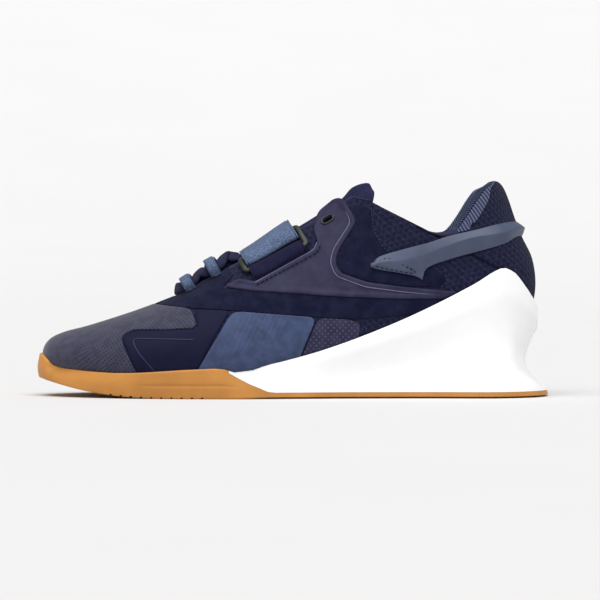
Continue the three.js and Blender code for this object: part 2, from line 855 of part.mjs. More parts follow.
// The tongue: a sheet under the throat, padded and rounded where it stands above the collar.
function tongue() {
  const [lengthSteps, widthSteps] = [16, 8];
  const loops = [];
  for (let i = 0; i <= lengthSteps; i++) {
    const share = i / lengthSteps;
    const at = mix(-0.02, TONGUE_TIP, 1 - (1 - share) ** 1.4);
    const past = Math.max(at - TONGUE_ROUND, 0) / (TONGUE_TIP - TONGUE_ROUND);
    const end = Math.sqrt(Math.max(1 - past ** 2, 0.06));
    const half = (tongueHalfWidth / throatHalfWidth) * mix(0.55, 1, smooth(-0.02, 0.5, at)) * mix(0.55, 1, end);
    const thickness = (tongueWall + tonguePad * smooth(0.85, 1.02, at)) * end;
    const line = (depth) => {
      const made = [];
      for (let j = 0; j <= widthSteps; j++) {
        const side = (2 * j) / widthSteps - 1;
        const middle = 1 - smooth(0.2, 0.5, Math.abs(side));
        const edge = 1 - side ** 6 * 0.5;
        const bulge = middle * (tongueBulge + smooth(0.98, 1.06, at) * 1.5);
        const top = -upperWall - 2.5 * fitGap + bulge - (tongueWall + tonguePad) * 0.5 * (1 - end);
        made.push(overInstep(at, side * half, depth ? top - thickness * edge : top).point);
      }
      return made;
    };
    loops.push([...line(0), ...line(1).reverse()]);
  }
  return solid(closedBody(loops));
}

// Overlays

function overlay(outline, wall, fromY, toY) {
  const shell = form(fitGap + wall).subtract(form(fitGap));
  const cut = openings.add(eyelets).add(body.translate([0, 0, fitGap]));
  return shell.intersect(sidePrism(rounded(outline), fromY, toY)).subtract(cut);
}

function heelBand() {
  const tip = HEEL_BAND[0].at;
  const loops = [];
  for (let i = -heelBandSteps; i <= heelBandSteps; i++) {
    const side = i < 0 ? -1 : 1;
    const share = 1 - Math.cos((Math.PI / 2) * Math.abs(i / heelBandSteps));
    const at = mix(1, tip, share);
    const proud = heelBandRidge * smooth(0, 0.3, 1 - share);
    const place = (column, offset) => {
      const z = along(HEEL_BAND, column, at) * instepHeight;
      const { point, out } = lastAtSide(mix(heelBackX(z), alongX(tip), share), z, side);
      if (i === 0) out.set(1, 0, 0);
      return point.addScaledVector(out, offset);
    };
    loops.push([
      place("upper", 2 * fitGap),
      place("upper", 2 * fitGap + heelBandWall),
      place("ridge", 2 * fitGap + heelBandWall + proud),
      place("lower", 2 * fitGap + heelBandWall),
      place("lower", 2 * fitGap),
      place("ridge", 2 * fitGap),
    ]);
  }
  return solid(closedBody(loops));
}

// Where the back of the last stands at a height.
function heelBackX(z) {
  let [low, high] = [INSTEP_ROW, LAST_ROW];
  for (let i = 0; i < 30; i++) {
    const u = (low + high) / 2;
    if (onLast(u, Math.PI).z < z) low = u;
    else high = u;
  }
  return onLast(low, Math.PI).x - 1e-3;
}

// A strip that follows a path of sideways places and heights across the instep.
function strip(path, wall, front, back, columns) {
  const at = path.map(([side, height]) => new THREE.Vector2(side * throatHalfWidth, height));
  const line = (shift) =>
    at.map((p, i) => {
      const way = at[Math.min(i + 1, at.length - 1)].clone().sub(at[Math.max(i - 1, 0)]).normalize();
      return new THREE.Vector2(p.x - way.y * shift, p.y + way.x * shift);
    });
  const [low, high] = [line(-wall / 2), line(wall / 2)];
  const loops = at.map((_, i) => {
    const row = (p) => {
      const made = [];
      for (let j = 0; j <= columns; j++)
        made.push(overInstep(mix(front, back, j / columns), p.x / throatHalfWidth, p.y).point);
      return made;
    };
    return [...row(low[i]), ...row(high[i]).reverse()];
  });
  return solid(closedBody(loops));
}

// A rectangular ring: two bars along the instep and two across, all over the same curved ground.
function ring() {
  const margin = ringMargin / throatLength;
  const wide = ringBar / throatLength;
  const half = ringBar / 2 / throatHalfWidth;
  const [front, back] = [strapFront - margin, strapBack + margin];
  const bar = ({ side, height }) =>
    strip(
      [
        [side - half, height],
        [side + half, height],
      ],
      ringBar,
      front,
      back,
      6,
    );
  const across = [
    [WEBBING_BAR.side, WEBBING_BAR.height],
    [STRAP_BAR.side, STRAP_BAR.height],
  ];
  return bar(STRAP_BAR)
    .add(bar(WEBBING_BAR))
    .add(strip(across, ringBar, front, front + wide, 1))
    .add(strip(across, ringBar, back - wide, back, 1));
}

function laceLoop({ at, height }, side) {
  const half = loopWidth / 2 / throatLength;
  const path = LOOP_PATH.map(([sideways, share]) => [side * sideways, share * height]);
  return strip(side < 0 ? path : path.reverse(), webbingWall, at - half, at + half, 1);
}

function laceHalf(side) {
  const guide = new THREE.CatmullRomCurve3(LACE_PATH.map(([a, b, c]) => new THREE.Vector3(a, b, c)));
  const steps = laceSteps;
  const frames = [];
  for (let i = 0; i <= steps; i++) {
    const p = guide.getPoint(i / steps);
    frames.push(overInstep(p.x, side * p.y, p.z));
  }
  const loops = frames.map(({ point, out }, i) => {
    const way = frames[Math.min(i + 1, steps)].point.clone().sub(frames[Math.max(i - 1, 0)].point).normalize();
    const across = new THREE.Vector3().crossVectors(out, way).normalize();
    const loop = [];
    for (let k = 0; k < 6; k++) {
      const turn = (k * Math.PI) / 3;
      loop.push(
        point
          .clone()
          .addScaledVector(across, (Math.cos(turn) * laceWidth) / 2)
          .addScaledVector(out, (Math.sin(turn) * laceThickness) / 2),
      );
    }
    return loop;
  });
  return solid(closedBody(loops));
}

// Materials and assembly

function finish(color, roughness, metalness = 0) {
  return new THREE.MeshStandardMaterial({ color, roughness, metalness });
}
const gumRubber = finish("#c58a4b", 0.55);
const whitePlastic = finish("#f6f5f3", 0.35);
const navyTextile = finish("#25273f", 0.9);
const navyFilm = finish("#1f1f3c", 0.6);
const greyMicrofibre = finish("#4a4a5e", 0.65);
const mauveFilm = finish("#454560", 0.5);
const slateFilm = finish("#475270", 0.5);
const slateRubber = finish("#58637f", 0.45);
const slateWebbing = finish("#5c6985", 0.85);
const navyWebbing = finish("#1c1c30", 0.9);
const ringPlastic = finish("#3a3c36", 0.35);
const foam = finish("#2a2c42", 0.95);

const shoe = new THREE.Group();
shoe.name = "weightlifting_shoe";

function add(name, shape, material) {
  const mesh = new THREE.Mesh(geometryOf(shape), material);
  mesh.name = name;
  shoe.add(mesh);
}

add("outsole", outsole, gumRubber);
add("midsole", midsole, whitePlastic);
add("upper", upper, navyTextile);
add("insole", insole, foam);
add("tongue", tongue(), navyTextile);
add("toe_cap", overlay(TOE_CAP, overlayWall, -farSide, farSide), greyMicrofibre);
add("vamp", overlay(VAMP, overlayWall, -farSide, farSide), navyTextile);
for (const [side, fromY, toY] of [
  ["lateral", -farSide, 0],
  ["medial", 0, farSide],
]) {
  add("flank_" + side, overlay(FLANK, overlayWall, fromY, toY), navyFilm);
  add("saddle_" + side, overlay(SADDLE, saddleWall, fromY, toY), slateFilm);
  add("quarter_" + side, overlay(QUARTER, quarterWall, fromY, toY), mauveFilm);
}
add("heel_band", heelBand(), slateRubber);
add("strap", strip(STRAP_PATH, strapWall, strapFront, strapBack, 5), slateWebbing);
add("strap_ring", ring(), ringPlastic);
add("strap_webbing", strip(WEBBING_PATH, webbingWall, strapFront, strapBack, 4), navyWebbing);
LOOPS.forEach((loop, i) => {
  add("lace_loop_lateral_" + (i + 1), laceLoop(loop, -1), slateWebbing);
  add("lace_loop_medial_" + (i + 1), laceLoop(loop, 1), slateWebbing);
});
add("laces", laceHalf(-1).add(laceHalf(1)), navyWebbing);

export default shoe;
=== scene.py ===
import math

import bmesh
import bpy
import numpy as np
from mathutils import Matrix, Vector
from mathutils.geometry import delaunay_2d_cdt


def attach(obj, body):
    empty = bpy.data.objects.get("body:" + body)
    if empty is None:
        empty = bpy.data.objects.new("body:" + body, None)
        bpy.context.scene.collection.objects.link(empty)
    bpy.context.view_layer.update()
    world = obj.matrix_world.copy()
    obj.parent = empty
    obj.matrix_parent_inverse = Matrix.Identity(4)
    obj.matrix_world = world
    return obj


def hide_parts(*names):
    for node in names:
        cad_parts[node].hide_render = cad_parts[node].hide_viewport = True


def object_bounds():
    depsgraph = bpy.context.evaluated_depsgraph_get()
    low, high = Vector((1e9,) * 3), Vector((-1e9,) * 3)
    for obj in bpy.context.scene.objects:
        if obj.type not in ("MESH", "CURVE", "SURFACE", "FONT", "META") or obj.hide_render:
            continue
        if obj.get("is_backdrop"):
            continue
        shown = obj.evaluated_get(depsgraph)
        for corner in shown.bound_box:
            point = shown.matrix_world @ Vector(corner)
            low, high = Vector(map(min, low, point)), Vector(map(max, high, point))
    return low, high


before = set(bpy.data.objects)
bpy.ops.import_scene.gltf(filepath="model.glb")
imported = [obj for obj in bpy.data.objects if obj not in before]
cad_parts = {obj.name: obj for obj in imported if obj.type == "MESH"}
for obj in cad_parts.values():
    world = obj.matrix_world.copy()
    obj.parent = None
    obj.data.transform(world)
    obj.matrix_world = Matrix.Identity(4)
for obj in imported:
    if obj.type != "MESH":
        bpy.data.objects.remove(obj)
cad_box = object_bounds()

bl_info = {
    "name": "Weightlifting shoe",
    "version": (1, 0, 0),
    "blender": (4, 5, 0),
    "location": "3D View > Sidebar > Shoe",
    "description": "Builds the visible pieces of a weightlifting shoe over its last",
    "category": "Add Mesh",
}

MM = 0.001

# Driving dimensions of the last and the shoe
SHOE_LENGTH = 300
BALL_WIDTH = 98
HEEL_WIDTH = 69
INSTEP_HEIGHT = 118
COLLAR_HEIGHT = 128
SEAT_HEIGHT = 30
UPPER_WALL = 2.2
COLLAR_PAD = 4.5
THROAT_HALF = 14.5
SOLE_WIDTH = 104
HEEL_BASE_WIDTH = 89
CUP_HEIGHT = 17.6
CLIP_HEIGHT = 75.4
RIM_WALL = 2.9
WAIST_DEPTH = 11
EDGE_BEVEL = 1.2
TOE_SPRING = 10.5

# Sections of the last, in planes that fan from the toe to the ankle. topX, soleX: shares of the
# length. topZ: share of INSTEP_HEIGHT. lift: to 1 a share of SEAT_HEIGHT, above 1 of the rise to the
# collar. heel: how far HEEL_WIDTH rules. lateral, medial: half widths. swing: sideways set.
# widest: height share of the widest point. crown, base: superellipse exponents.
SECTION_COLUMNS = (
    "topX", "topZ", "soleX", "lift", "heel", "lateral", "medial", "swing", "widest", "crown", "base",
)
SECTIONS = (
    (0.0098, 0.203, 0.0098, 0.8, 0, 0, 0, 0.07, 0.48, 2.2, 2.1),
    (0.0135, 0.24, 0.0135, 0.665, 0, 0.085, 0.08, 0.07, 0.46, 2.2, 2.2),
    (0.022, 0.271, 0.022, 0.61, 0, 0.165, 0.155, 0.07, 0.42, 2.2, 2.5),
    (0.036, 0.294, 0.036, 0.57, 0, 0.24, 0.225, 0.07, 0.38, 2.25, 2.9),
    (0.058, 0.315, 0.058, 0.52, 0, 0.31, 0.29, 0.07, 0.35, 2.3, 3.3),
    (0.094, 0.338, 0.094, 0.447, 0, 0.388, 0.357, 0.07, 0.32, 2.3, 3.7),
    (0.145, 0.378, 0.145, 0.363, 0, 0.458, 0.407, 0.061, 0.3, 2.2, 4),
    (0.2, 0.425, 0.2, 0.31, 0, 0.51, 0.432, 0.051, 0.28, 2.05, 4.2),
    (0.263, 0.489, 0.263, 0.287, 0, 0.545, 0.444, 0.041, 0.26, 1.95, 4.4),
    (0.327, 0.588, 0.327, 0.313, 0, 0.553, 0.439, 0.031, 0.24, 1.85, 4.4),
    (0.396, 0.69, 0.42, 0.433, 0.1, 0.547, 0.426, 0.02, 0.22, 1.8, 4.2),
    (0.465, 0.79, 0.549, 0.693, 0.35, 0.529, 0.415, 0.015, 0.22, 1.9, 3.8),
    (0.525, 0.88, 0.694, 0.917, 0.7, 0.528, 0.431, 0.01, 0.24, 2.1, 3.4),
    (0.565, 0.945, 0.824, 0.993, 1, 0.53, 0.478, 0.006, 0.27, 2.35, 3),
    (0.586, 0.982, 0.906, 1.01, 1, 0.514, 0.486, 0.004, 0.3, 2.5, 2.6),
    (0.597, 1.002, 0.949, 1.075, 1, 0.507, 0.49, 0.002, 0.33, 2.55, 2.4),
    (0.604, 1.016, 0.968, 1.22, 1, 0.5, 0.49, 0, 0.35, 2.55, 2.25),
    (0.611, 1.03, 0.975, 1.37, 1, 0.493, 0.486, 0, 0.36, 2.5, 2.2),
    (0.619, 1.044, 0.968, 1.52, 1, 0.48, 0.474, 0, 0.36, 2.4, 2.2),
    (0.627, 1.056, 0.948, 1.65, 1, 0.464, 0.46, 0, 0.36, 2.3, 2.2),
    (0.635, 1.067, 0.933, 1.77, 1, 0.448, 0.446, 0, 0.36, 2.2, 2.2),
    (0.643, 1.078, 0.922, 1.87, 1, 0.436, 0.434, 0, 0.36, 2.1, 2.2),
    (0.65, 1.088, 0.91, 1.95, 1, 0.428, 0.426, 0, 0.36, 2, 2.2),
    (0.657, 1.096, 0.891, 2.005, 1, 0.42, 0.418, 0, 0.36, 2, 2.2),
)
THROAT_ROW = 8
INSTEP_ROW = 15
LAST_ROW = len(SECTIONS) - 1
TOP_ROW = 22.3

# Half width of the throat: shares of its length and of THROAT_HALF.
THROAT = ((-0.03, 0.3), (0.02, 0.66), (0.1, 0.82), (0.3, 0.93), (0.6, 1), (0.85, 1), (1.3, 1.2))

# Collar line from the side: shares of the length and INSTEP_HEIGHT.
COLLAR = (
    (0.596, 1.03), (0.606, 1.0), (0.625, 0.995), (0.66, 0.973), (0.685, 0.945), (0.71, 0.913),
    (0.735, 0.88), (0.76, 0.85), (0.78, 0.833), (0.797, 0.83), (0.81, 0.843), (0.828, 0.905),
    (0.85, 0.99), (0.868, 1.05), (0.88, 1.077), (0.888, 1.15),
)

# Ground outline: share of the length, part of the heel base, half widths outside and inside, swing.
SOLE_PLAN = (
    (0, 0, 0.4, 0.36, 0.07),
    (0.1, 0, 0.43, 0.395, 0.07),
    (0.2, 0, 0.505, 0.435, 0.052),
    (0.3, 0, 0.545, 0.455, 0.035),
    (0.37, 0, 0.55, 0.445, 0.025),
    (0.5, 0.3, 0.51, 0.415, 0.015),
    (0.62, 0.8, 0.485, 0.415, 0.008),
    (0.76, 1, 0.475, 0.44, 0.003),
    (0.9, 1, 0.505, 0.485, 0),
    (1, 1, 0.52, 0.49, 0),
)
TOE_ROUND = 0.16
HEEL_ROUND = 0.15
SPRING = (
    (0, 1), (0.02, 0.88), (0.05, 0.67), (0.09, 0.41), (0.13, 0.22), (0.18, 0.08), (0.24, 0), (1, 0),
)
# Top edge of the sole: share of the length, of CUP_HEIGHT and of CLIP_HEIGHT.
RIM = (
    (0, 1.38, 0), (0.01, 1.42, 0), (0.022, 1.28, 0), (0.036, 1.06, 0), (0.07, 0.94, 0),
    (0.165, 0.835, 0), (0.3, 0.96, 0), (0.357, 1, 0), (0.38, 0.9, 0), (0.405, 0.48, 0.102),
    (0.433, 0, 0.238), (0.482, 0, 0.29), (0.55, 0, 0.363), (0.7, 0, 0.585), (0.849, 0, 0.874),
    (0.892, 0, 0.98), (0.906, 0, 1), (0.925, 0, 0.965), (0.942, 0, 0.88), (0.964, 0, 0.742),
    (0.981, 0, 0.625), (1, 0, 0.565),
)
# Side of the sole: share of its rise, and share of WAIST_DEPTH drawn in there.
SOLE_RIB = (
    (0, 0), (0.09, 0.12), (0.18, 0.53), (0.29, 0.92), (0.4, 1), (0.54, 0.82), (0.7, 0.42), (0.85, 0.04),
    (1, 0),
)
WAIST = ((0, 0), (0.45, 0), (0.7, 0.3), (0.92, 0.45), (0.98, 0.9), (1, 1))
# Seam between rubber and wedge from the side: shares of the length, heights in mm.
CUP_SEAM = ((0.373, 28), (0.377, 14.8), (0.415, 8.8), (0.452, 4.05), (0.466, 3.6), (1.05, 3.6))

# Overlay outlines from the side: shares of the length and INSTEP_HEIGHT.
TOE_CAP = (
    (0.214, 0.05), (0.18, 0.221), (0.166, 0.299), (0.19, 0.333), (0.25, 0.335), (0.316, 0.344),
    (0.304, 0.437), (0.2275, 0.453),
)
TOE_CAP_TOP = 0.2175
FLANK = (
    (0.2175, 0.05), (0.1825, 0.221), (0.1695, 0.295), (0.191, 0.328), (0.25, 0.33), (0.3205, 0.339),
    (0.308, 0.434), (0.379, 0.429), (0.308, 0.115), (0.308, 0.05),
)
SADDLE = ((0.311, 0.05), (0.311, 0.115), (0.384, 0.426), (0.546, 0.397), (0.509, 0.182), (0.509, 0.05))
VENT = (
    (0.513, 0.05), (0.513, 0.182), (0.55, 0.396), (0.612, 0.386), (0.631, 0.364), (0.627, 0.312),
    (0.6, 0.05),
)
VAMP_LOW = (
    (0.2305, 0.456), (0.306, 0.44), (0.378, 0.4325), (0.49, 0.412), (0.57, 0.397), (0.625, 0.392),
    (0.632, 0.292),
)
VAMP_HIGH = (
    (0.8, 0.432), (0.79, 0.484), (0.7, 0.483), (0.6, 0.492), (0.515, 0.506), (0.425, 0.518),
    (0.362, 0.536), (0.384, 0.598),
)
QUARTER = (
    (0.3665, 0.541), (0.426, 0.5215), (0.515, 0.5095), (0.6, 0.4955), (0.7, 0.4865), (0.79, 0.4875),
    (0.82, 0.522), (0.718, 0.544), (0.643, 0.568), (0.59, 0.614), (0.582, 0.663), (0.588, 0.72),
    (0.624, 0.864), (0.6, 0.977), (0.585, 0.977), (0.55, 0.907), (0.54, 0.822), (0.549, 0.758),
    (0.5425, 0.727), (0.4295, 0.565), (0.397, 0.583),
)
REAR_FILM = (
    (0.645, 0.572), (0.594, 0.618), (0.586, 0.665), (0.592, 0.72), (0.629, 0.864), (0.612, 0.947),
    (0.652, 0.937), (0.655, 0.832), (0.675, 0.737), (0.7, 0.692), (0.76, 0.647), (0.793, 0.607),
    (0.8, 0.572), (0.785, 0.545), (0.72, 0.548),
)
EYELET = (0.87, -1.32)

# Heel band from the side: share of the length, then its upper edge, ridge and lower edge.
HEEL_BAND = (
    (0.65, 0.66, 0.65, 0.64),
    (0.665, 0.692, 0.664, 0.631),
    (0.7, 0.721, 0.672, 0.617),
    (0.742, 0.749, 0.692, 0.594),
    (0.7495, 0.754, 0.697, 0.58),
    (0.756, 0.758, 0.705, 0.632),
    (0.8, 0.795, 0.749, 0.679),
    (0.85, 0.825, 0.789, 0.716),
    (0.9, 0.855, 0.812, 0.757),
    (0.936, 0.867, 0.8366, 0.795),
)

STRAP_PATH = (
    (2.45, 3.1), (2.1, 3.0), (1.75, 2.8), (1.35, 2.7), (0.9, 2.6), (0, 2.6), (-0.7, 2.4), (-1.15, 2.25),
    (-1.36, 2.2), (-1.52, 2.95), (-1.57, 4.5), (-1.52, 6.05), (-1.36, 6.75), (-1.08, 6.2), (-0.6, 5.1),
    (0, 4.6), (0.9, 4.5), (1.5, 4.6),
)
# How far round the strap, its ring and the webbing slip at the toe end, by how far out they are.
STRAP_SAG = ((0, 0), (0.6, 0.05), (1.1, 0.14), (1.57, 0.2), (1.88, 0.1), (2.03, 0.29), (2.7, 0.3))
STRAP_BAR = (-1.12, 4.2)
WEBBING_PATH = (
    (-2.5, 0.0), (-2.3, 0.05), (-2.14, 0.25), (-2.06, 1.0), (-2.03, 2.2), (-2.02, 3.6), (-1.96, 4.6),
    (-1.86, 4.8), (-1.75, 4.1), (-1.72, 3.0), (-1.76, 1.9), (-1.84, 1.1), (-1.96, 0.7), (-2.12, 0.0),
)
WEBBING_BAR = (-1.88, 3.2)
STRAP_FRONT = 0.406
STRAP_BACK = 0.7
RING_MARGIN = 3
RING_BAR = 2.2
RING_BREADTH = 3.2
RING_CORNER = 1.6
RING_SQUARENESS = 3.2
STRAP_WALL = 1.5
STRAP_COLUMNS = 22
WEBBING_WALL = 1.1
LOOP_WIDTH = 6.2
LOOP_COLUMNS = 8
LOOPS = ((0.106, 8.2), (0.252, 10))
LOOP_PATH = (
    (1.34, 0.16), (1.36, 0.55), (1.24, 0.82), (1.02, 0.98), (0.7, 0.98), (0.44, 0.8), (0.34, 0.5),
    (0.34, 0.15),
)
LACE_PATH = (
    (0.04, 0, 3.1, 0, 52),
    (0.05, 0.5, 3.2, 0.3, 44),
    (0.074, 0.84, 3.5, 0.9, 14),
    (0.106, 0.92, 4.2, 1, 0),
    (0.142, 0.8, 4.0, 0.9, 0),
    (0.178, 0, 3.6, 0, 12),
    (0.21, -0.78, 4.5, 0.9, 0),
    (0.233, -0.9, 5.0, 1, 0),
    (0.273, -0.9, 5.0, 1, 0),
    (0.297, -0.76, 4.7, 1, 0),
    (0.335, -0.1, 4.3, 0.3, 14),
    (0.37, 0.42, 2.6, 0.25, 6),
    (0.4, 0.56, 0.9, 0, 0),
    (0.46, 0.6, 0.2, 0, 0),
)
LACE_LEAN = 62
LACE_SIDES = 14


def mix(a, b, share):
    return a + (b - a) * share


def smooth(low, high, value):
    t = min(max((value - low) / (high - low), 0), 1)
    return t * t * (3 - 2 * t)


def sign(value):
    return (value > 0) - (value < 0)


def along_x(share):
    return (share - 0.5) * SHOE_LENGTH


def side_point(share_x, share_z):
    return along_x(share_x), share_z * INSTEP_HEIGHT


def along(table, column, at):
    """Value of a column at a place, on a curve through the rows that never overshoots them."""
    end = len(table) - 1
    x = min(max(at, table[0][0]), table[end][0])
    i = 0
    while i < end - 1 and x > table[i + 1][0]:
        i += 1

    def slope(k):
        if k < 0 or k >= end:
            return 0
        return (table[k + 1][column] - table[k][column]) / (table[k + 1][0] - table[k][0])

    def tangent(k):
        before, after = slope(k - 1), slope(k)
        return 2 * before * after / (before + after) if before * after > 0 else 0

    span = table[i + 1][0] - table[i][0]
    t = (x - table[i][0]) / span
    y0, y1 = table[i][column], table[i + 1][column]
    m0, m1 = tangent(i) * span, tangent(i + 1) * span
    return y0 + t * (m0 + t * (3 * (y1 - y0) - 2 * m0 - m1 + t * (m0 + m1 - 2 * (y1 - y0))))


def catmull(rows, u):
    """A row between rows, on Catmull-Rom curves through every column."""
    i = min(int(max(u, 0)), len(rows) - 2)
    f = min(max(u - i, 0), 1)
    a, b, c, d = (rows[min(max(k, 0), len(rows) - 1)] for k in (i - 1, i, i + 1, i + 2))
    return [
        q + 0.5 * f * (r - p + f * (2 * p - 5 * q + 4 * r - s + f * (3 * (q - r) + s - p)))
        for p, q, r, s in zip(a, b, c, d)
    ]


def section_sizes(u):
    row = dict(zip(SECTION_COLUMNS, catmull(SECTIONS, u)))
    width = mix(BALL_WIDTH, HEEL_WIDTH, row["heel"])
    rise = max(row["lift"] - 1, 0) * (COLLAR_HEIGHT - SEAT_HEIGHT)
    return (
        along_x(row["topX"]),
        row["topZ"] * INSTEP_HEIGHT,
        along_x(row["soleX"]),
        min(row["lift"], 1) * SEAT_HEIGHT + rise,
        row["lateral"] * width,
        row["medial"] * width,
        row["swing"] * BALL_WIDTH,
        row["widest"],
        row["crown"],
        row["base"],
    )


FINE = 0.02
FINE_SECTIONS = [section_sizes(i * FINE) for i in range(int(LAST_ROW / FINE) + 2)]


def section(u):
    place = min(max(u / FINE, 0), LAST_ROW / FINE)
    i = int(place)
    f = place - i
    return [p + (q - p) * f for p, q in zip(FINE_SECTIONS[i], FINE_SECTIONS[i + 1])]


def on_last(u, turn):
    """A point of the last. turn is 0 on the ridge and pi on the sole or heel line, negative outside."""
    top_x, top_z, sole_x, sole_z, lateral, medial, swing, widest, crown, base = section(u)
    c = math.cos(turn)
    s = math.sin(turn)
    power = 2 / (crown if c >= 0 else base)
    reach = 1 - widest if c >= 0 else -widest
    height = widest + reach * abs(c) ** power
    width = lateral if -math.pi <= turn < 0 or turn > math.pi else medial
    side = sign(s) * width * abs(s) ** power
    return Vector((mix(sole_x, top_x, height), swing + side, mix(sole_z, top_z, height)))


def last_normal(u, turn):
    if u < 1e-3:
        return Vector((-1, 0, 0))
    step = 0.004
    way = on_last(min(u + step, LAST_ROW), turn) - on_last(u - step, turn)
    around = on_last(u, turn + step) - on_last(u, turn - step)
    out = way.cross(around)
    return out.normalized()


def over(u, turn, offset):
    return on_last(u, turn) + last_normal(u, turn) * offset


throat_foot = on_last(THROAT_ROW, 0)
throat_head = on_last(INSTEP_ROW, 0)
throat_length = math.hypot(throat_head.x - throat_foot.x, throat_head.z - throat_foot.z)
instep_line = Vector((throat_head.x - throat_foot.x, 0, throat_head.z - throat_foot.z)).normalized()


def along_instep(point):
    return (point - throat_foot).dot(instep_line) / throat_length


def row_at_instep(at, turn):
    low, high = 2, LAST_ROW
    for _ in range(20):
        u = (low + high) / 2
        if along_instep(on_last(u, turn)) < at:
            low = u
        else:
            high = u
    return (low + high) / 2


def instep_place(at, sideways):
    """Row and turn of a place over the instep, sideways by a share of THROAT_HALF."""
    turn = sideways * 0.35
    u = 0
    for _ in range(4):
        u = row_at_instep(at, turn)
        row = section(u)
        width = row[4] if sideways < 0 else row[5]
        share = min(abs(sideways * THROAT_HALF) / width, 0.98)
        turn = sign(sideways) * math.asin(share ** (row[8] / 2))
    return u, turn


def over_instep(at, sideways, offset):
    u, turn = instep_place(at, sideways)
    out = last_normal(u, turn)
    return on_last(u, turn) + out * offset, out


def sagged(at, sideways, height):
    """A place of the strap, which lies lower and further round at its toe end on the outer side."""
    front = 1 - smooth(STRAP_FRONT, STRAP_BACK, at)
    drop = mix(0.4, 0.2, smooth(0.5, 1.4, abs(sideways)))
    if sideways > 0:
        drop *= 1 - smooth(0, 1.5, sideways)
    return at, sideways - front * along(STRAP_SAG, 1, -sideways), height * (1 - front * drop)


def turn_at(height, widest, crown, base):
    """Turn at a share of a section's height."""
    if height >= widest:
        return math.acos(((height - widest) / (1 - widest)) ** (crown / 2))
    return math.acos(-(((widest - height) / widest) ** (base / 2)))


def side_place(x, z, side):
    """Row and turn of the surface seen at x, z from the side."""

    def turned(u):
        top_x, top_z, sole_x, sole_z = section(u)[:4]
        return (top_x - sole_x) * (z - sole_z) - (top_z - sole_z) * (x - sole_x)

    low, high = 1e-3, LAST_ROW
    for _ in range(24):
        u = (low + high) / 2
        if turned(u) < 0:
            low = u
        else:
            high = u
    u = (low + high) / 2
    top_x, top_z, sole_x, sole_z, _, _, _, widest, crown, base = section(u)
    line = (top_x - sole_x, top_z - sole_z)
    height = ((x - sole_x) * line[0] + (z - sole_z) * line[1]) / (line[0] ** 2 + line[1] ** 2)
    return u, side * turn_at(min(max(height, 0), 1), widest, crown, base)


# Lengths over the last in millimetres: along its rows, and round from its ridge.
TABLE_ROWS = 92
TABLE_TURNS = 24


def arc_tables():
    turns = range(2 * TABLE_TURNS + 1)
    grid = [
        [on_last(i / TABLE_ROWS * LAST_ROW, (j / TABLE_TURNS - 1) * math.pi) for j in turns]
        for i in range(TABLE_ROWS + 1)
    ]
    lengths = [[0.0] * len(turns)]
    for i in range(1, TABLE_ROWS + 1):
        lengths.append([lengths[-1][j] + (grid[i][j] - grid[i - 1][j]).length for j in turns])
    girths = []
    for row in grid:
        girth = [0.0] * (2 * TABLE_TURNS + 1)
        for j in range(TABLE_TURNS + 1, 2 * TABLE_TURNS + 1):
            girth[j] = girth[j - 1] + (row[j] - row[j - 1]).length
        for j in range(TABLE_TURNS - 1, -1, -1):
            girth[j] = girth[j + 1] - (row[j] - row[j + 1]).length
        girths.append(girth)
    return lengths, girths


LENGTHS, GIRTHS = arc_tables()


def table_value(table, u, turn):
    x = min(max(u / LAST_ROW * TABLE_ROWS, 0), TABLE_ROWS - 1e-6)
    y = min(max((turn / math.pi + 1) * TABLE_TURNS, 0), 2 * TABLE_TURNS - 1e-6)
    i, j = int(x), int(y)
    f, g = x - i, y - j
    return mix(mix(table[i][j], table[i][j + 1], g), mix(table[i + 1][j], table[i + 1][j + 1], g), f)


def flat(u, turn):
    """Millimetres along and round the last, round from its ridge."""
    return table_value(LENGTHS, u, turn), table_value(GIRTHS, u, turn)


def side_map(u, turn):
    """Millimetres as seen from the side."""
    point = on_last(u, turn)
    return point.x, point.z


def sole_map(u, turn):
    """Millimetres along the last, and up round it from its sole."""
    round_it = table_value(GIRTHS, u, math.pi) - abs(table_value(GIRTHS, u, turn))
    return table_value(LENGTHS, u, turn), round_it


def heel_map(point):
    """Millimetres round the heel from its middle line, and up."""
    ahead = point.x - (along_x(1) - HEEL_WIDTH / 2 - 12)
    radius = HEEL_WIDTH / 2
    if ahead > 0:
        return radius * math.atan2(point.y, ahead), point.z
    return math.copysign(radius * math.pi / 2 - ahead, point.y), point.z


# Meshes

# Millimetres on a patch's plan to a row and to a radian.
PLAN_ROW = 14
PLAN_TURN = 34
# Rounding of a stitch: share of its length, share of its radius, and how high it lies.
STITCH_RINGS = (
    (0, 0.35, -0.25), (0.14, 0.85, 0.05), (0.5, 1, 0.16), (0.86, 0.85, 0.05), (1, 0.35, -0.25),
)
STITCH_SIDES = 6


def make(name, points, faces, finish, uvs=None, crease=None, weld=True, marks=None):
    """A mesh object from millimetres, welded, smooth, with creases above an angle in degrees."""
    mesh = bpy.data.meshes.new(name)
    mesh.from_pydata([p * MM for p in points], [], faces)
    if uvs:
        layer = mesh.uv_layers.new(name="millimetres")
        for loop in mesh.loops:
            layer.data[loop.index].uv = uvs[loop.vertex_index]
    if marks:
        mesh.attributes.new("mark", "FLOAT", "POINT").data.foreach_set("value", marks)
    worked = bmesh.new()
    worked.from_mesh(mesh)
    if weld:
        bmesh.ops.remove_doubles(worked, verts=worked.verts, dist=1e-6)
    bmesh.ops.dissolve_degenerate(worked, edges=worked.edges, dist=1e-7)
    bmesh.ops.recalc_face_normals(worked, faces=worked.faces)
    worked.to_mesh(mesh)
    worked.free()
    mesh.shade_smooth()
    if crease:
        mesh.set_sharp_from_angle(angle=math.radians(crease))
    piece = bpy.data.objects.new(name, mesh)
    bpy.context.scene.collection.objects.link(piece)
    for one in finish if isinstance(finish, (list, tuple)) else [finish]:
        mesh.materials.append(bpy.data.materials[one])
    return piece


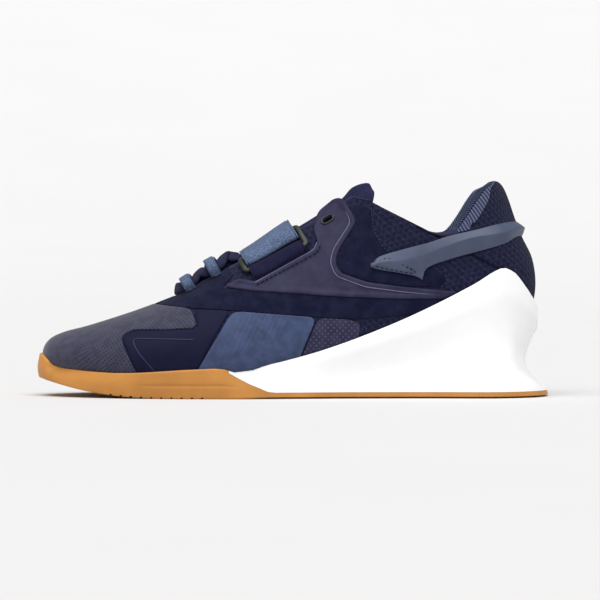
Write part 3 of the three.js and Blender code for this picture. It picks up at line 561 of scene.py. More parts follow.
def settle(piece, nodes, slot):
    """Puts a finished piece on the shoe's body, in place of its solids."""
    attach(piece, "root")
    if nodes:
        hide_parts(*nodes)
    return piece


def quads(rows, columns, closed=False, start=0, looped=False):
    """Faces of a grid of points stored row by row, closed across its rows or looped along them."""
    faces = []
    for i in range(rows if looped else rows - 1):
        after = ((i + 1) % rows - i) * columns
        for j in range(columns if closed else columns - 1):
            a = start + i * columns + j
            b = start + i * columns + (j + 1) % columns
            faces.append((a, b, b + after, a + after))
    return faces


def cap(loop, start, turned):
    """Faces that close a ring of points, paired across it."""
    faces = []
    count = len(loop)
    for j in range(count // 2 - 1):
        a, b, c, d = (start + k for k in (j, j + 1, count - 2 - j, count - 1 - j))
        face = (a, b, d) if b == c else (a, b, c, d)
        faces.append(face if turned else face[::-1])
    return faces


def loft(name, loops, finish, uvs=None, crease=None):
    """A closed body through rings of the same number of points."""
    count = len(loops[0])
    points = [p for loop in loops for p in loop]
    faces = quads(len(loops), count, closed=True)
    faces += cap(loops[0], 0, False) + cap(loops[-1], (len(loops) - 1) * count, True)
    return make(name, points, faces, finish, uvs, crease)


def curve(start, corner, end, steps):
    """Points of a bend between two points, drawn towards a corner."""
    shares = [k / steps for k in range(steps + 1)]
    return [start * (1 - t) ** 2 + corner * 2 * t * (1 - t) + end * t**2 for t in shares]


def bend(before, p, after, reach):
    """Points round a corner of an outline, from a reach before it to a reach after it."""
    start = p.lerp(before, min(reach / (p - before).length, 0.45))
    end = p.lerp(after, min(reach / (p - after).length, 0.45))
    return curve(start, p, end, 4)


def rounded(points, corner, step=1.2):
    """A closed outline in millimetres with rounded corners, resampled evenly."""
    at = [Vector(side_point(*p)) for p in points]
    path = []
    for before, p, after in zip([at[-1]] + at, at, at[1:] + at[:1]):
        path += bend(before, p, after, corner)
    return resample(path + [path[0]], step)[:-1]


def open_line(points, corner, step=1.2):
    """An open line in millimetres with rounded corners, resampled evenly."""
    at = [Vector(side_point(*p)) for p in points]
    path = [at[0]]
    for before, p, after in zip(at, at[1:], at[2:]):
        path += bend(before, p, after, corner)
    return resample(path + [at[-1]], step)


def resample(path, step):
    lengths = [0.0]
    for a, b in zip(path, path[1:]):
        lengths.append(lengths[-1] + (b - a).length)
    count = max(int(round(lengths[-1] / step)), 2)
    made = []
    i = 0
    for k in range(count + 1):
        want = lengths[-1] * k / count
        while i < len(path) - 2 and lengths[i + 1] < want:
            i += 1
        span = lengths[i + 1] - lengths[i]
        made.append(path[i].lerp(path[i + 1], (want - lengths[i]) / span if span > 1e-9 else 0))
    return made


def inside(point, outline):
    hit = False
    x, y = point
    j = len(outline) - 1
    for i, (xi, yi) in enumerate(outline):
        xj, yj = outline[j]
        if (yi > y) != (yj > y) and x < (xj - xi) * (y - yi) / (yj - yi) + xi:
            hit = not hit
        j = i
    return hit


def ring_gap(point, ring):
    """Distance in millimetres from a point to a closed line."""
    way = np.roll(ring, -1, axis=0) - ring
    share = np.clip(((point - ring) * way).sum(1) / np.maximum((way * way).sum(1), 1e-9), 0, 1)
    away = ring + way * share[:, None] - point
    return math.sqrt((away * away).sum(1).min())


def planned(u, turn):
    """A place on a flat plan of the last, about as long as it is wide."""
    return Vector((u * PLAN_ROW, turn * PLAN_TURN))


def nearest(place, plan):
    """Which point of a plan lies nearest to a place."""
    return min(range(len(plan)), key=lambda k: (plan[k] - place).length_squared)


def patch(name, places, finish, profile, grid=2.6, relief=None, crease=50, sunk=-0.15, mapped=None):
    """A panel cut to pattern over the last. places are rows and turns of its outline, in order.
    profile lists how far in from the edge and how high; relief adds height at a row and turn."""
    plane = [planned(u, turn) for u, turn in places]
    if sum(a.x * b.y - b.x * a.y for a, b in zip(plane, plane[1:] + plane[:1])) < 0:
        places = places[::-1]
        plane = plane[::-1]
    count = len(places)
    ring = np.array([on_last(*place) for place in places])
    points, uvs = [], []

    def put(u, turn, height):
        out = last_normal(u, turn)
        points.append(on_last(u, turn) + out * (height + (relief(u, turn) if relief else 0)))
        uvs.append(mapped(u, turn) if mapped else flat(u, turn))

    def moved(i, inset):
        u, turn = places[i]
        before, after = places[i - 1], places[(i + 1) % count]
        way = on_last(*after) - on_last(*before)
        inward = last_normal(u, turn).cross(way).normalized() * inset
        step = 0.01
        by_u = (on_last(min(u + step, LAST_ROW), turn) - on_last(u - step, turn)) / (2 * step)
        by_turn = (on_last(u, turn + step) - on_last(u, turn - step)) / (2 * step)
        a, b, c = by_u.dot(by_u), by_u.dot(by_turn), by_turn.dot(by_turn)
        d, e = by_u.dot(inward), by_turn.dot(inward)
        det = a * c - b * b
        return u + (d * c - b * e) / det, turn + (a * e - b * d) / det

    for height in (sunk, profile[0][1]):
        for place in places:
            put(*place, height)
    turned = 1 if inside(planned(*moved(0, 0.3)), plane) else -1
    spots = []
    for i in range(count):
        spot = moved(i, turned * profile[1][0])
        sound = ring_gap(np.array(on_last(*spot)), ring) > 0.6 * profile[1][0]
        spots.append(spot if sound else places[i])
    heights = [profile[1][1]] * count
    for place in spots:
        put(*place, profile[1][1])
    faces = quads(3, count, closed=True)
    for inset, height in profile[2:]:
        for i in range(count):
            spot = moved(i, turned * inset)
            if inside(planned(*spot), plane):
                if ring_gap(np.array(on_last(*spot)), ring) > inset - 0.12:
                    spots.append(spot)
                    heights.append(height)
    clear = profile[-1][0] + 0.35 * grid
    us = [u for u, _ in places]
    turns = [turn for _, turn in places]
    u = min(us)
    odd = 0
    while u < max(us):
        tried = turns[:: max(count // 12, 1)]
        spans = [(on_last(u + 0.05, turn) - on_last(u, turn)).length / 0.05 for turn in tried]
        u += grid / max(max(spans), 1)
        turn = min(turns)
        odd = 1 - odd
        first = True
        while turn < max(turns):
            span = (on_last(u, turn + 0.02) - on_last(u, turn)).length / 0.02
            turn += grid / max(span, 5) * (0.5 if first and odd else 1)
            first = False
            if inside(planned(u, turn), plane) and ring_gap(np.array(on_last(u, turn)), ring) > clear:
                spots.append((u, turn))
                heights.append(profile[-1][1])
    plan = [planned(u, turn) for u, turn in spots]
    made, _, tris, origins, *_ = delaunay_2d_cdt(plan, [], [list(range(count))], 1, 1e-4)
    index = []
    for k, source in enumerate(origins):
        if source and source[0] < count:
            index.append(2 * count + source[0])
            continue
        near = source[0] if source else nearest(made[k], plan)
        index.append(len(points))
        put(*spots[near], heights[near])
    for tri in tris:
        face = tuple(index[k] for k in tri)
        if len(set(face)) == 3:
            faces.append(face)
    return make(name, points, faces, finish, uvs, crease)


def strip(name, path, wall, front, back, columns, finish, placed=lambda *place: place):
    """A strap that follows sideways places and heights across the instep, with rounded edges."""
    rows = [Vector((side * THROAT_HALF, height)) for side, height in path]
    fine = []
    count = (len(rows) - 1) * 4
    for i in range(count + 1):
        fine.append(Vector(catmull(rows, i * (len(rows) - 1) / count)))
    ats = [mix(front, back, j / columns) for j in range(columns + 1)]
    edge = wall / 2 / throat_length
    across = []
    steps = 6
    for k in range(steps + 1):
        angle = math.pi * (0.5 + k / steps)
        across.append((front + edge * (1 + math.cos(angle)), -math.sin(angle)))
    low = [(at, -1) for at in ats[1:-1]]
    far = [(back - (a - front), h) for a, h in reversed(across)]
    high = [(at, 1) for at in reversed(ats[1:-1])]
    ring = across + low + far + high
    loops, uvs = [], []
    travelled = 0
    for i, p in enumerate(fine):
        way = (fine[min(i + 1, count)] - fine[max(i - 1, 0)]).normalized()
        if i:
            travelled += (p - fine[i - 1]).length
        loop = []
        for at, side in ring:
            shift = side * wall / 2
            spot = Vector((p.x - way.y * shift, p.y + way.x * shift))
            loop.append(over_instep(*placed(at, spot.x / THROAT_HALF, spot.y))[0])
            uvs.append((at * throat_length, travelled))
        loops.append(loop)
    return loft(name, loops, finish, uvs)


def tube(name, centres, outs, width, thickness, finish, sides=12, squareness=2.6):
    """A flat lace or cord along points, flat side out."""
    loops, uvs = [], []
    travelled = 0
    end = len(centres) - 1
    for i, (point, out) in enumerate(zip(centres, outs)):
        way = (centres[min(i + 1, end)] - centres[max(i - 1, 0)]).normalized()
        across = out.cross(way).normalized()
        up = way.cross(across).normalized()
        if i:
            travelled += (point - centres[i - 1]).length
        loop = []
        for k in range(sides):
            angle = 2 * math.pi * k / sides
            c, s = math.cos(angle), math.sin(angle)
            x = sign(c) * abs(c) ** (2 / squareness) * width / 2
            y = sign(s) * abs(s) ** (2 / squareness) * thickness / 2
            loop.append(point + across * x + up * y)
            uvs.append((travelled, k / sides * 2 * (width + thickness)))
        loops.append(loop)
    return loft(name, loops, finish, uvs)


def stitches(name, lines, finish, length, gap, radius):
    """Rows of thread stitches: each line lists points and the way out of the surface."""
    points, faces = [], []
    for line in lines:
        spans = [(b[0] - a[0]).length for a, b in zip(line, line[1:])]
        total = sum(spans)
        count = max(int(total / (length + gap)), 1)
        pitch = total / count

        def spot(want):
            done = 0
            for (a, b), span in zip(zip(line, line[1:]), spans):
                if done + span >= want or (a, b) == (line[-2], line[-1]):
                    t = min(max((want - done) / span, 0), 1) if span else 0
                    return a[0].lerp(b[0], t), a[1].lerp(b[1], t).normalized()
                done += span
            return line[-1]

        for k in range(count):
            start = len(points)
            for t, size, lift in STITCH_RINGS:
                at = pitch * k + gap / 2 + (pitch - gap) * t
                centre, out = spot(at)
                way = (spot(min(at + 0.2, total))[0] - spot(max(at - 0.2, 0))[0]).normalized()
                across = out.cross(way).normalized()
                for angle in (0, 1.05, 2.09, 3.14, 4.19, 5.24):
                    lean = across * math.cos(angle) + out * math.sin(angle)
                    points.append(centre + out * lift + lean * radius * size)
            faces += quads(5, STITCH_SIDES, closed=True, start=start)
            last = start + 4 * STITCH_SIDES
            faces.append(tuple(range(start, start + STITCH_SIDES))[::-1])
            faces.append(tuple(range(last, last + STITCH_SIDES)))
    return make(name, points, faces, finish, weld=False)


def joined(name, pieces):
    """Joins pieces into one object."""
    bpy.ops.object.select_all(action="DESELECT")
    for piece in pieces:
        piece.select_set(True)
    bpy.context.view_layer.objects.active = pieces[0]
    bpy.ops.object.join()
    pieces[0].name = name
    return pieces[0]


def cut(piece, tool, operation="DIFFERENCE"):
    """Cuts a piece by another, exactly, and removes the tool."""
    change = piece.modifiers.new("cut", "BOOLEAN")
    change.object = tool
    change.operation = operation
    change.solver = "EXACT"
    bpy.ops.object.select_all(action="DESELECT")
    bpy.context.view_layer.objects.active = piece
    piece.select_set(True)
    bpy.ops.object.modifier_apply(modifier=change.name)
    bpy.data.objects.remove(tool, do_unlink=True)
    return piece


# Finishes


def linear(code):
    """An sRGB hex colour as linear red, green, blue and alpha."""
    made = []
    for i in (1, 3, 5):
        value = int(code[i : i + 2], 16) / 255
        made.append(value / 12.92 if value <= 0.04045 else ((value + 0.055) / 1.055) ** 2.4)
    return (*made, 1.0)


def shade(colour, share=1.0):
    """A linear colour darkened to a share of its light."""
    return (*(part * share for part in colour), 1.0)


def chosen():
    """The sizes and colours that the user set."""
    return bpy.context.scene.shoe_sizes


def add(tree, kind, inputs=None, **settings):
    """Adds a node with its settings, values and links."""
    made = tree.nodes.new(kind)
    for key, value in settings.items():
        setattr(made, key, value)
    for key, value in (inputs or {}).items():
        socket = made.inputs[key]
        if isinstance(value, bpy.types.NodeSocket):
            tree.links.new(value, socket)
        else:
            socket.default_value = value
    return made


def finish(name, values):
    """A new material with its shader, values set on the shader's own sockets."""
    material = bpy.data.materials.new(name)
    material.use_nodes = True
    tree = material.node_tree
    shader = tree.nodes["Principled BSDF"]
    for key, value in values.items():
        shader.inputs[key].default_value = value
    return tree, shader


def millimetres(tree, across=0.0, scale=(1, 1, 1)):
    """Millimetres over the surface, turned by an angle in degrees."""
    uv = add(tree, "ShaderNodeUVMap", uv_map="millimetres")
    place = {"Vector": uv.outputs["UV"], "Rotation": (0, 0, math.radians(across)), "Scale": scale}
    return add(tree, "ShaderNodeMapping", place).outputs["Vector"]


def space(tree):
    """Position in the shoe's frame, in millimetres."""
    at = add(tree, "ShaderNodeTexCoord")
    inputs = {0: at.outputs["Object"], 1: (1 / MM, 1 / MM, 1 / MM)}
    return add(tree, "ShaderNodeVectorMath", inputs, operation="MULTIPLY").outputs[0]


def eased(tree, value, low, high, out_low=0.0, out_high=1.0):
    """Goes from one value to another, softly, while what it reads goes from low to high."""
    inputs = {"Value": value, "From Min": low, "From Max": high, "To Min": out_low, "To Max": out_high}
    return add(tree, "ShaderNodeMapRange", inputs, interpolation_type="SMOOTHSTEP").outputs["Result"]


def noise(tree, place, size, detail=3.0, roughness=0.55):
    """Cloudy noise with features of a size in millimetres."""
    inputs = {"Vector": place, "Scale": 1 / size, "Detail": detail, "Roughness": roughness}
    return add(tree, "ShaderNodeTexNoise", inputs).outputs["Fac"]


def holes(tree, place, pitch, radius, soft=0.12):
    """1 inside round holes on a lattice, 0 between them; millimetres."""
    cells = {"Vector": place, "Scale": 1 / pitch, "Randomness": 0.0}
    near = add(tree, "ShaderNodeTexVoronoi", cells, voronoi_dimensions="2D").outputs["Distance"]
    return eased(tree, near, (radius - soft) / pitch, (radius + soft) / pitch, 1, 0)


def weave(tree, pitch, across=0.0):
    """Height of a plain weave with a thread pitch in millimetres."""
    place = millimetres(tree, across)
    parts = add(tree, "ShaderNodeSeparateXYZ", {0: place})
    turns = 2 * math.pi / pitch
    waves = []
    for part in (parts.outputs[0], parts.outputs[1]):
        angle = add(tree, "ShaderNodeMath", {0: part, 1: turns}, operation="MULTIPLY").outputs[0]
        waves.append(add(tree, "ShaderNodeMath", {0: angle}, operation="SINE").outputs[0])
    crossed = add(tree, "ShaderNodeMath", dict(enumerate(waves)), operation="MULTIPLY").outputs[0]
    return eased(tree, crossed, -1, 1)


def bump(tree, shader, height, distance, strength=1.0, over_bump=None):
    """Raises the surface by a height map; distance is its full depth in millimetres."""
    inputs = {"Height": height, "Distance": distance * MM, "Strength": strength}
    if over_bump:
        inputs["Normal"] = over_bump
    made = add(tree, "ShaderNodeBump", inputs).outputs["Normal"]
    tree.links.new(made, shader.inputs["Normal"])
    return made


def clouds(tree, shader, size, low, high, rough=None, detail=4.0):
    """Colour, and roughness if given, drifting between two values in clouds of a size in millimetres."""
    low, high = (linear(one) if isinstance(one, str) else one for one in (low, high))
    at = space(tree)
    share = eased(tree, noise(tree, at, size, detail), 0.3, 0.7)
    tint = add(tree, "ShaderNodeMix", {0: share, 6: low, 7: high}, data_type="RGBA").outputs[2]
    tree.links.new(tint, shader.inputs["Base Color"])
    if rough:
        tree.links.new(eased(tree, share, 0, 1, *rough), shader.inputs["Roughness"])
    return at, tint


def stain(tree, shader, share, tint, colour):
    """Lays a colour over the base colour where share is 1."""
    inputs = {0: share, 6: tint, 7: linear(colour)}
    made = add(tree, "ShaderNodeMix", inputs, data_type="RGBA").outputs[2]
    tree.links.new(made, shader.inputs["Base Color"])
    return made


def strayed(tree, place, size, reach):
    """A place moved about at random by up to a reach in millimetres."""
    inputs = {"Vector": place, "Scale": 1 / size, "Detail": 2.0}
    drift = add(tree, "ShaderNodeTexNoise", inputs).outputs["Color"]
    inputs = {0: drift, 1: (-0.5, -0.5, -0.5)}
    centred = add(tree, "ShaderNodeVectorMath", inputs, operation="ADD").outputs[0]
    inputs = {0: centred, 1: (reach, reach, reach)}
    scaled = add(tree, "ShaderNodeVectorMath", inputs, operation="MULTIPLY").outputs[0]
    return add(tree, "ShaderNodeVectorMath", {0: place, 1: scaled}, operation="ADD").outputs[0]


def cells(tree, place, pitch):
    """Height of a knit with three-sided cells: three waves that cross at sixty degrees."""
    total = 0.0
    for turn in (0, 120, 240):
        way = (math.cos(math.radians(turn)), math.sin(math.radians(turn)), 0)
        inputs = {0: place, 1: way}
        run = add(tree, "ShaderNodeVectorMath", inputs, operation="DOT_PRODUCT").outputs["Value"]
        inputs = {0: run, 1: 2 * math.pi / (pitch * CELL_ROW)}
        angle = add(tree, "ShaderNodeMath", inputs, operation="MULTIPLY").outputs[0]
        wave = add(tree, "ShaderNodeMath", {0: angle}, operation="SINE").outputs[0]
        total = add(tree, "ShaderNodeMath", {0: wave, 1: total}, operation="ADD").outputs[0]
    return eased(tree, total, -2.2, 2.2)


# Rows of three-sided cells lie closer than the cells themselves.
CELL_ROW = 0.866
TEXTILE = {"Roughness": 0.9, "Sheen Weight": 0.04, "Sheen Roughness": 0.45, "Specular IOR Level": 0.06}
FILM = {"IOR": 1.48, "Specular IOR Level": 0.09}


def dress():
    """Every finish of the shoe."""
    sizes = chosen()
    # Gum rubber, press moulded: warm, slightly see-through at edges, satin with faint mould haze
    satin = {"IOR": 1.52, "Specular IOR Level": 0.2, "Subsurface Weight": 0.1, "Subsurface Scale": 0.003}
    tree, shader = finish("gum_rubber_moulded", satin)
    at, _ = clouds(tree, shader, 26, shade(sizes.rubber_colour, 0.82), shade(sizes.rubber_colour))
    haze = noise(tree, at, 1.1, 5)
    tree.links.new(eased(tree, haze, 0.2, 0.8, 0.42, 0.58), shader.inputs["Roughness"])
    bump(tree, shader, haze, 0.05)

    # Thermoplastic wedge, injection moulded and painted white: clean, even, a soft clear gloss
    tree, shader = finish("tpu_moulded_white", {"IOR": 1.5, "Coat Weight": 0.2, "Coat Roughness": 0.2})
    dark, full = shade(sizes.wedge_colour, 0.98), shade(sizes.wedge_colour)
    at, _ = clouds(tree, shader, 14, dark, full, (0.3, 0.38))
    bump(tree, shader, noise(tree, at, 0.7, 4), 0.02)

    # Polyester knit, double layer: matte navy with sunk three-sided cells and pale stray filaments.
    # The cells are drawn a little coarser than they are, so that they show.
    tree, shader = finish("polyester_knit_navy", TEXTILE)
    dark, full = shade(sizes.knit_colour, 0.55), shade(sizes.knit_colour)
    at, tint = clouds(tree, shader, 2.0, dark, full, detail=6)
    knit = cells(tree, strayed(tree, millimetres(tree, 12), 3.0, 1.1), sizes.knit_pitch / MM)
    tint = stain(tree, shader, eased(tree, knit, 0.6, 0.25, 0, 0.5), tint, "#10112a")
    strands = eased(tree, noise(tree, strayed(tree, at, 1.4, 1.0), 0.9, 3), 0.6, 0.72, 0, 0.5)
    stain(tree, shader, strands, tint, "#4c506e")
    fine = bump(tree, shader, weave(tree, 0.55, 45), 0.14)
    bump(tree, shader, knit, 0.5, over_bump=fine)

    # Microfibre, needle punched: matte grey with rows of small round holes, staggered.
    # The holes are drawn a little coarser than they are, so that they show.
    nap = {"Roughness": 0.72, "Specular IOR Level": 0.16, "Sheen Weight": 0.22, "Sheen Roughness": 0.4}
    tree, shader = finish("microfibre_perforated_grey", {**TEXTILE, **nap})
    at, tint = clouds(tree, shader, 5, "#323245", "#3f3f51")
    parts = add(tree, "ShaderNodeSeparateXYZ", {0: at})
    behind_toe = eased(tree, parts.outputs[0], -131, -124)
    rows = holes(tree, millimetres(tree, 45), sizes.hole_pitch / MM, 0.4, 0.12)
    punched = add(tree, "ShaderNodeMath", {0: rows, 1: behind_toe}, operation="MULTIPLY").outputs[0]
    stain(tree, shader, punched, tint, "#0c0d1e")
    fine = bump(tree, shader, noise(tree, at, 0.35, 4), 0.06)
    bump(tree, shader, punched, 0.4, -1.0, over_bump=fine)

    # Nubuck, buffed: very matte navy with a short nap, soft wrinkles and stray pale fibres
    tree, shader = finish("nubuck_buffed_navy", {**TEXTILE, "Roughness": 0.95})
    at, tint = clouds(tree, shader, 7, "#12142b", "#1c1e35")
    lint = eased(tree, noise(tree, at, 0.8, 2), 0.7, 0.8, 0, 0.3)
    stain(tree, shader, lint, tint, "#62647e")
    wrinkle = bump(tree, shader, noise(tree, at, 6.5, 2), 0.7)
    bump(tree, shader, noise(tree, at, 0.4, 5), 0.14, over_bump=wrinkle)

    # Polyurethane film, hot pressed on textile: smooth dark navy, a low even sheen
    tree, shader = finish("film_pressed_navy", FILM)
    at, _ = clouds(tree, shader, 9, "#10102b", "#161631", (0.55, 0.66))
    bump(tree, shader, noise(tree, at, 0.9, 4), 0.04)

    # Polyurethane film, hot pressed, mauve: satin, faint leather-like ripple from the textile under it
    tree, shader = finish("film_pressed_mauve", FILM)
    at, _ = clouds(tree, shader, 8, "#28273f", "#34334b", (0.5, 0.62), detail=5)
    ripple = bump(tree, shader, noise(tree, at, 3.6, 3), 0.16)
    bump(tree, shader, noise(tree, at, 0.5, 4), 0.05, over_bump=ripple)

    # Raised beads along the film welds: the same film, painted lighter as a painted highlight along each
    # weld
    for name, low, high in (
        ("film_welded_mauve", "#56546f", "#625f7c"),
        ("film_welded_navy", "#1c1c3c", "#242446"),
    ):
        tree, shader = finish(name, {**FILM, "Specular IOR Level": 0.3})
        clouds(tree, shader, 5, low, high, (0.4, 0.5))

    # Film with moulded pips: mauve vent panel with small pale pips in rows
    tree, shader = finish("film_vented_mauve", {**FILM, "Roughness": 0.6})
    at, tint = clouds(tree, shader, 6, "#2b2a43", "#36354c")
    pips = holes(tree, millimetres(tree, 45), 2.4, 0.55, 0.2)
    faint = add(tree, "ShaderNodeMath", {0: pips, 1: 0.6}, operation="MULTIPLY").outputs[0]
    stain(tree, shader, faint, tint, "#57566e")
    bump(tree, shader, pips, 0.25)

    # Film over moulded ribs: slate blue panel, satin
    tree, shader = finish("film_ribbed_slate", FILM)
    at, _ = clouds(tree, shader, 6, "#39435e", "#445070", (0.45, 0.58), detail=5)
    bump(tree, shader, noise(tree, at, 0.5, 4), 0.05)

    # Thermoplastic band, injection moulded: slate blue, smooth satin with crisp edges
    tree, shader = finish("tpu_moulded_slate", {"IOR": 1.5, "Specular IOR Level": 0.35})
    dark, full = shade(sizes.band_colour, 0.78), shade(sizes.band_colour)
    at, _ = clouds(tree, shader, 12, dark, full, (0.42, 0.54))
    bump(tree, shader, noise(tree, at, 0.4, 4), 0.04)

    # Polyester webbing, plain woven from mixed yarns, slate: heathered threads, dry and matte
    tree, shader = finish("webbing_woven_slate", TEXTILE)
    at, tint = clouds(tree, shader, 9, "#4a5974", "#566583")
    yarns = noise(tree, millimetres(tree, 0, (0.45, 1.6, 1)), 0.8, 4)
    tint = stain(tree, shader, eased(tree, yarns, 0.48, 0.66, 0, 0.6), tint, "#7f8daa")
    stain(tree, shader, eased(tree, yarns, 0.48, 0.32, 0, 0.6), tint, "#2c3850")
    threads = weave(tree, 0.9, 45)
    bump(tree, shader, threads, 0.2)

    # Elastic webbing, woven, navy: fine ribs along its run
    tree, shader = finish("webbing_elastic_navy", TEXTILE)
    at, tint = clouds(tree, shader, 4, "#12112a", "#191831")
    threads = weave(tree, 1.0)
    faint = add(tree, "ShaderNodeMath", {0: threads, 1: 0.5}, operation="MULTIPLY").outputs[0]
    stain(tree, shader, faint, tint, "#2b2a48")
    bump(tree, shader, threads, 0.2)

    # Polyester lace, flat braided, navy: herringbone threads across its width
    tree, shader = finish("lace_braided_navy", TEXTILE)
    at, tint = clouds(tree, shader, 5, "#191a30", "#24253e")
    braid = weave(tree, 1.1, 38)
    faint = add(tree, "ShaderNodeMath", {0: braid, 1: 0.6}, operation="MULTIPLY").outputs[0]
    stain(tree, shader, faint, tint, "#383a58")
    bump(tree, shader, braid, 0.28)

    # Polyester tape, folded over the edge and sewn: navy, a little lighter than the knit
    tree, shader = finish("tape_folded_navy", TEXTILE)
    at, tint = clouds(tree, shader, 6, "#26283f", "#30334b")
    twill = weave(tree, 0.8, 30)
    faint = add(tree, "ShaderNodeMath", {0: twill, 1: 0.4}, operation="MULTIPLY").outputs[0]
    stain(tree, shader, faint, tint, "#41445f")
    bump(tree, shader, twill, 0.12)

    # Acetal ring, injection moulded, dark olive: smooth with a soft gloss
    tree, shader = finish("acetal_moulded_olive", {"IOR": 1.48, "Specular IOR Level": 0.4})
    at, _ = clouds(tree, shader, 5, "#1c1f18", "#25281f", (0.34, 0.42))
    bump(tree, shader, noise(tree, at, 0.6, 3), 0.03)

    # Knitted rib lining, slate: raised cords catch the light, furrows stay dark
    tree, shader = finish("lining_ribbed_slate", TEXTILE)
    at, tint = clouds(tree, shader, 3, "#12142a", "#191c31")
    cord = add(tree, "ShaderNodeAttribute", attribute_name="mark").outputs["Fac"]
    stain(tree, shader, cord, tint, "#626a87")
    bump(tree, shader, noise(tree, at, 0.35, 4), 0.1)

    # Brushed textile lining over foam, navy: soft, pilled, no gloss
    tree, shader = finish("lining_brushed_navy", {**TEXTILE, "Roughness": 0.95})
    at, _ = clouds(tree, shader, 0.9, "#181a33", "#282a48", detail=6)
    bump(tree, shader, noise(tree, at, 0.9, 6, 0.7), 0.25)

    # Bonded polyester thread: tight round stitches with a faint gloss, darker and lighter lots
    for name, low, high in (
        ("thread_bonded_navy", "#14162a", "#1c1e34"),
        ("thread_bonded_slate", "#343b52", "#404860"),
    ):
        tree, shader = finish(name, {**FILM, "Roughness": 0.6})
        at, _ = clouds(tree, shader, 0.7, low, high)
        bump(tree, shader, noise(tree, at, 0.3, 3), 0.05)

    # Painted studio board: pale and matte
    tree, shader = finish("studio_board_pale", {"Roughness": 0.9, "Specular IOR Level": 0.1})
    clouds(tree, shader, 300, "#d1d0d0", "#d2d1d1")


# Sole


def rounded_ends(at):
    toe = 1 - min(at / TOE_ROUND, 1)
    heel = 1 - min((1 - at) / HEEL_ROUND, 1)
    return math.sqrt(max(1 - toe * toe, 0)) * math.sqrt(max(1 - heel * heel, 0))


def rim_height(at):
    return along(RIM, 1, at) * CUP_HEIGHT + along(RIM, 2, at) * CLIP_HEIGHT


def ground_edge(t, side, inset):
    at = (1 - math.cos(math.pi * t)) / 2
    width = along(SOLE_PLAN, 2 if side < 0 else 3, at)
    width *= mix(SOLE_WIDTH, HEEL_BASE_WIDTH, along(SOLE_PLAN, 1, at)) * rounded_ends(at)
    y = along(SOLE_PLAN, 4, at) * BALL_WIDTH + side * max(width - inset, 0)
    x = mix(along_x(0) + inset, along_x(1) - inset, at)
    return Vector((x, y, along(SPRING, 1, at) * TOE_SPRING))


SOLE_FRONT = SECTIONS[0][2] + 0.0006
SOLE_BACK = max(row[2] for row in SECTIONS) - 0.0006


def rim_place(t, side):
    at = mix(SOLE_FRONT, SOLE_BACK, (1 - math.cos(math.pi * t)) / 2)
    height = rim_height(at)
    return side_place(along_x(at), height, side), height


def rim_edge(t, side, offset):
    (u, turn), height = rim_place(t, side)
    out = last_normal(u, turn)
    if t <= 0:
        out = Vector((-1, 0, 0))
    if t >= 1:
        out = Vector((1, 0, 0))
    out.z = 0
    point = on_last(u, turn) + out.normalized() * offset
    point.z = height
    return point


RIM_INNER = 1.0
SOLE_STEPS = 84
SOLE_RISES = 34
UNDERCUT = 4.5
TOE_LIP = 2.6
LIP_ROUND = 1.1
BED_GAP = 0.3
SOLE_CREASE = 38
# Crease and swell of the forefoot wall: heights and depths in millimetres.
CREASE_HEIGHT = 7.6
CREASE_BREADTH = 0.8
CREASE_DEPTH = 0.45
WALL_SWELL = 0.8


def lip_drop(t):
    """Height of the rounding along the rim, fuller at the toe."""
    return mix(TOE_LIP, LIP_ROUND, smooth(0.05, 0.16, t))


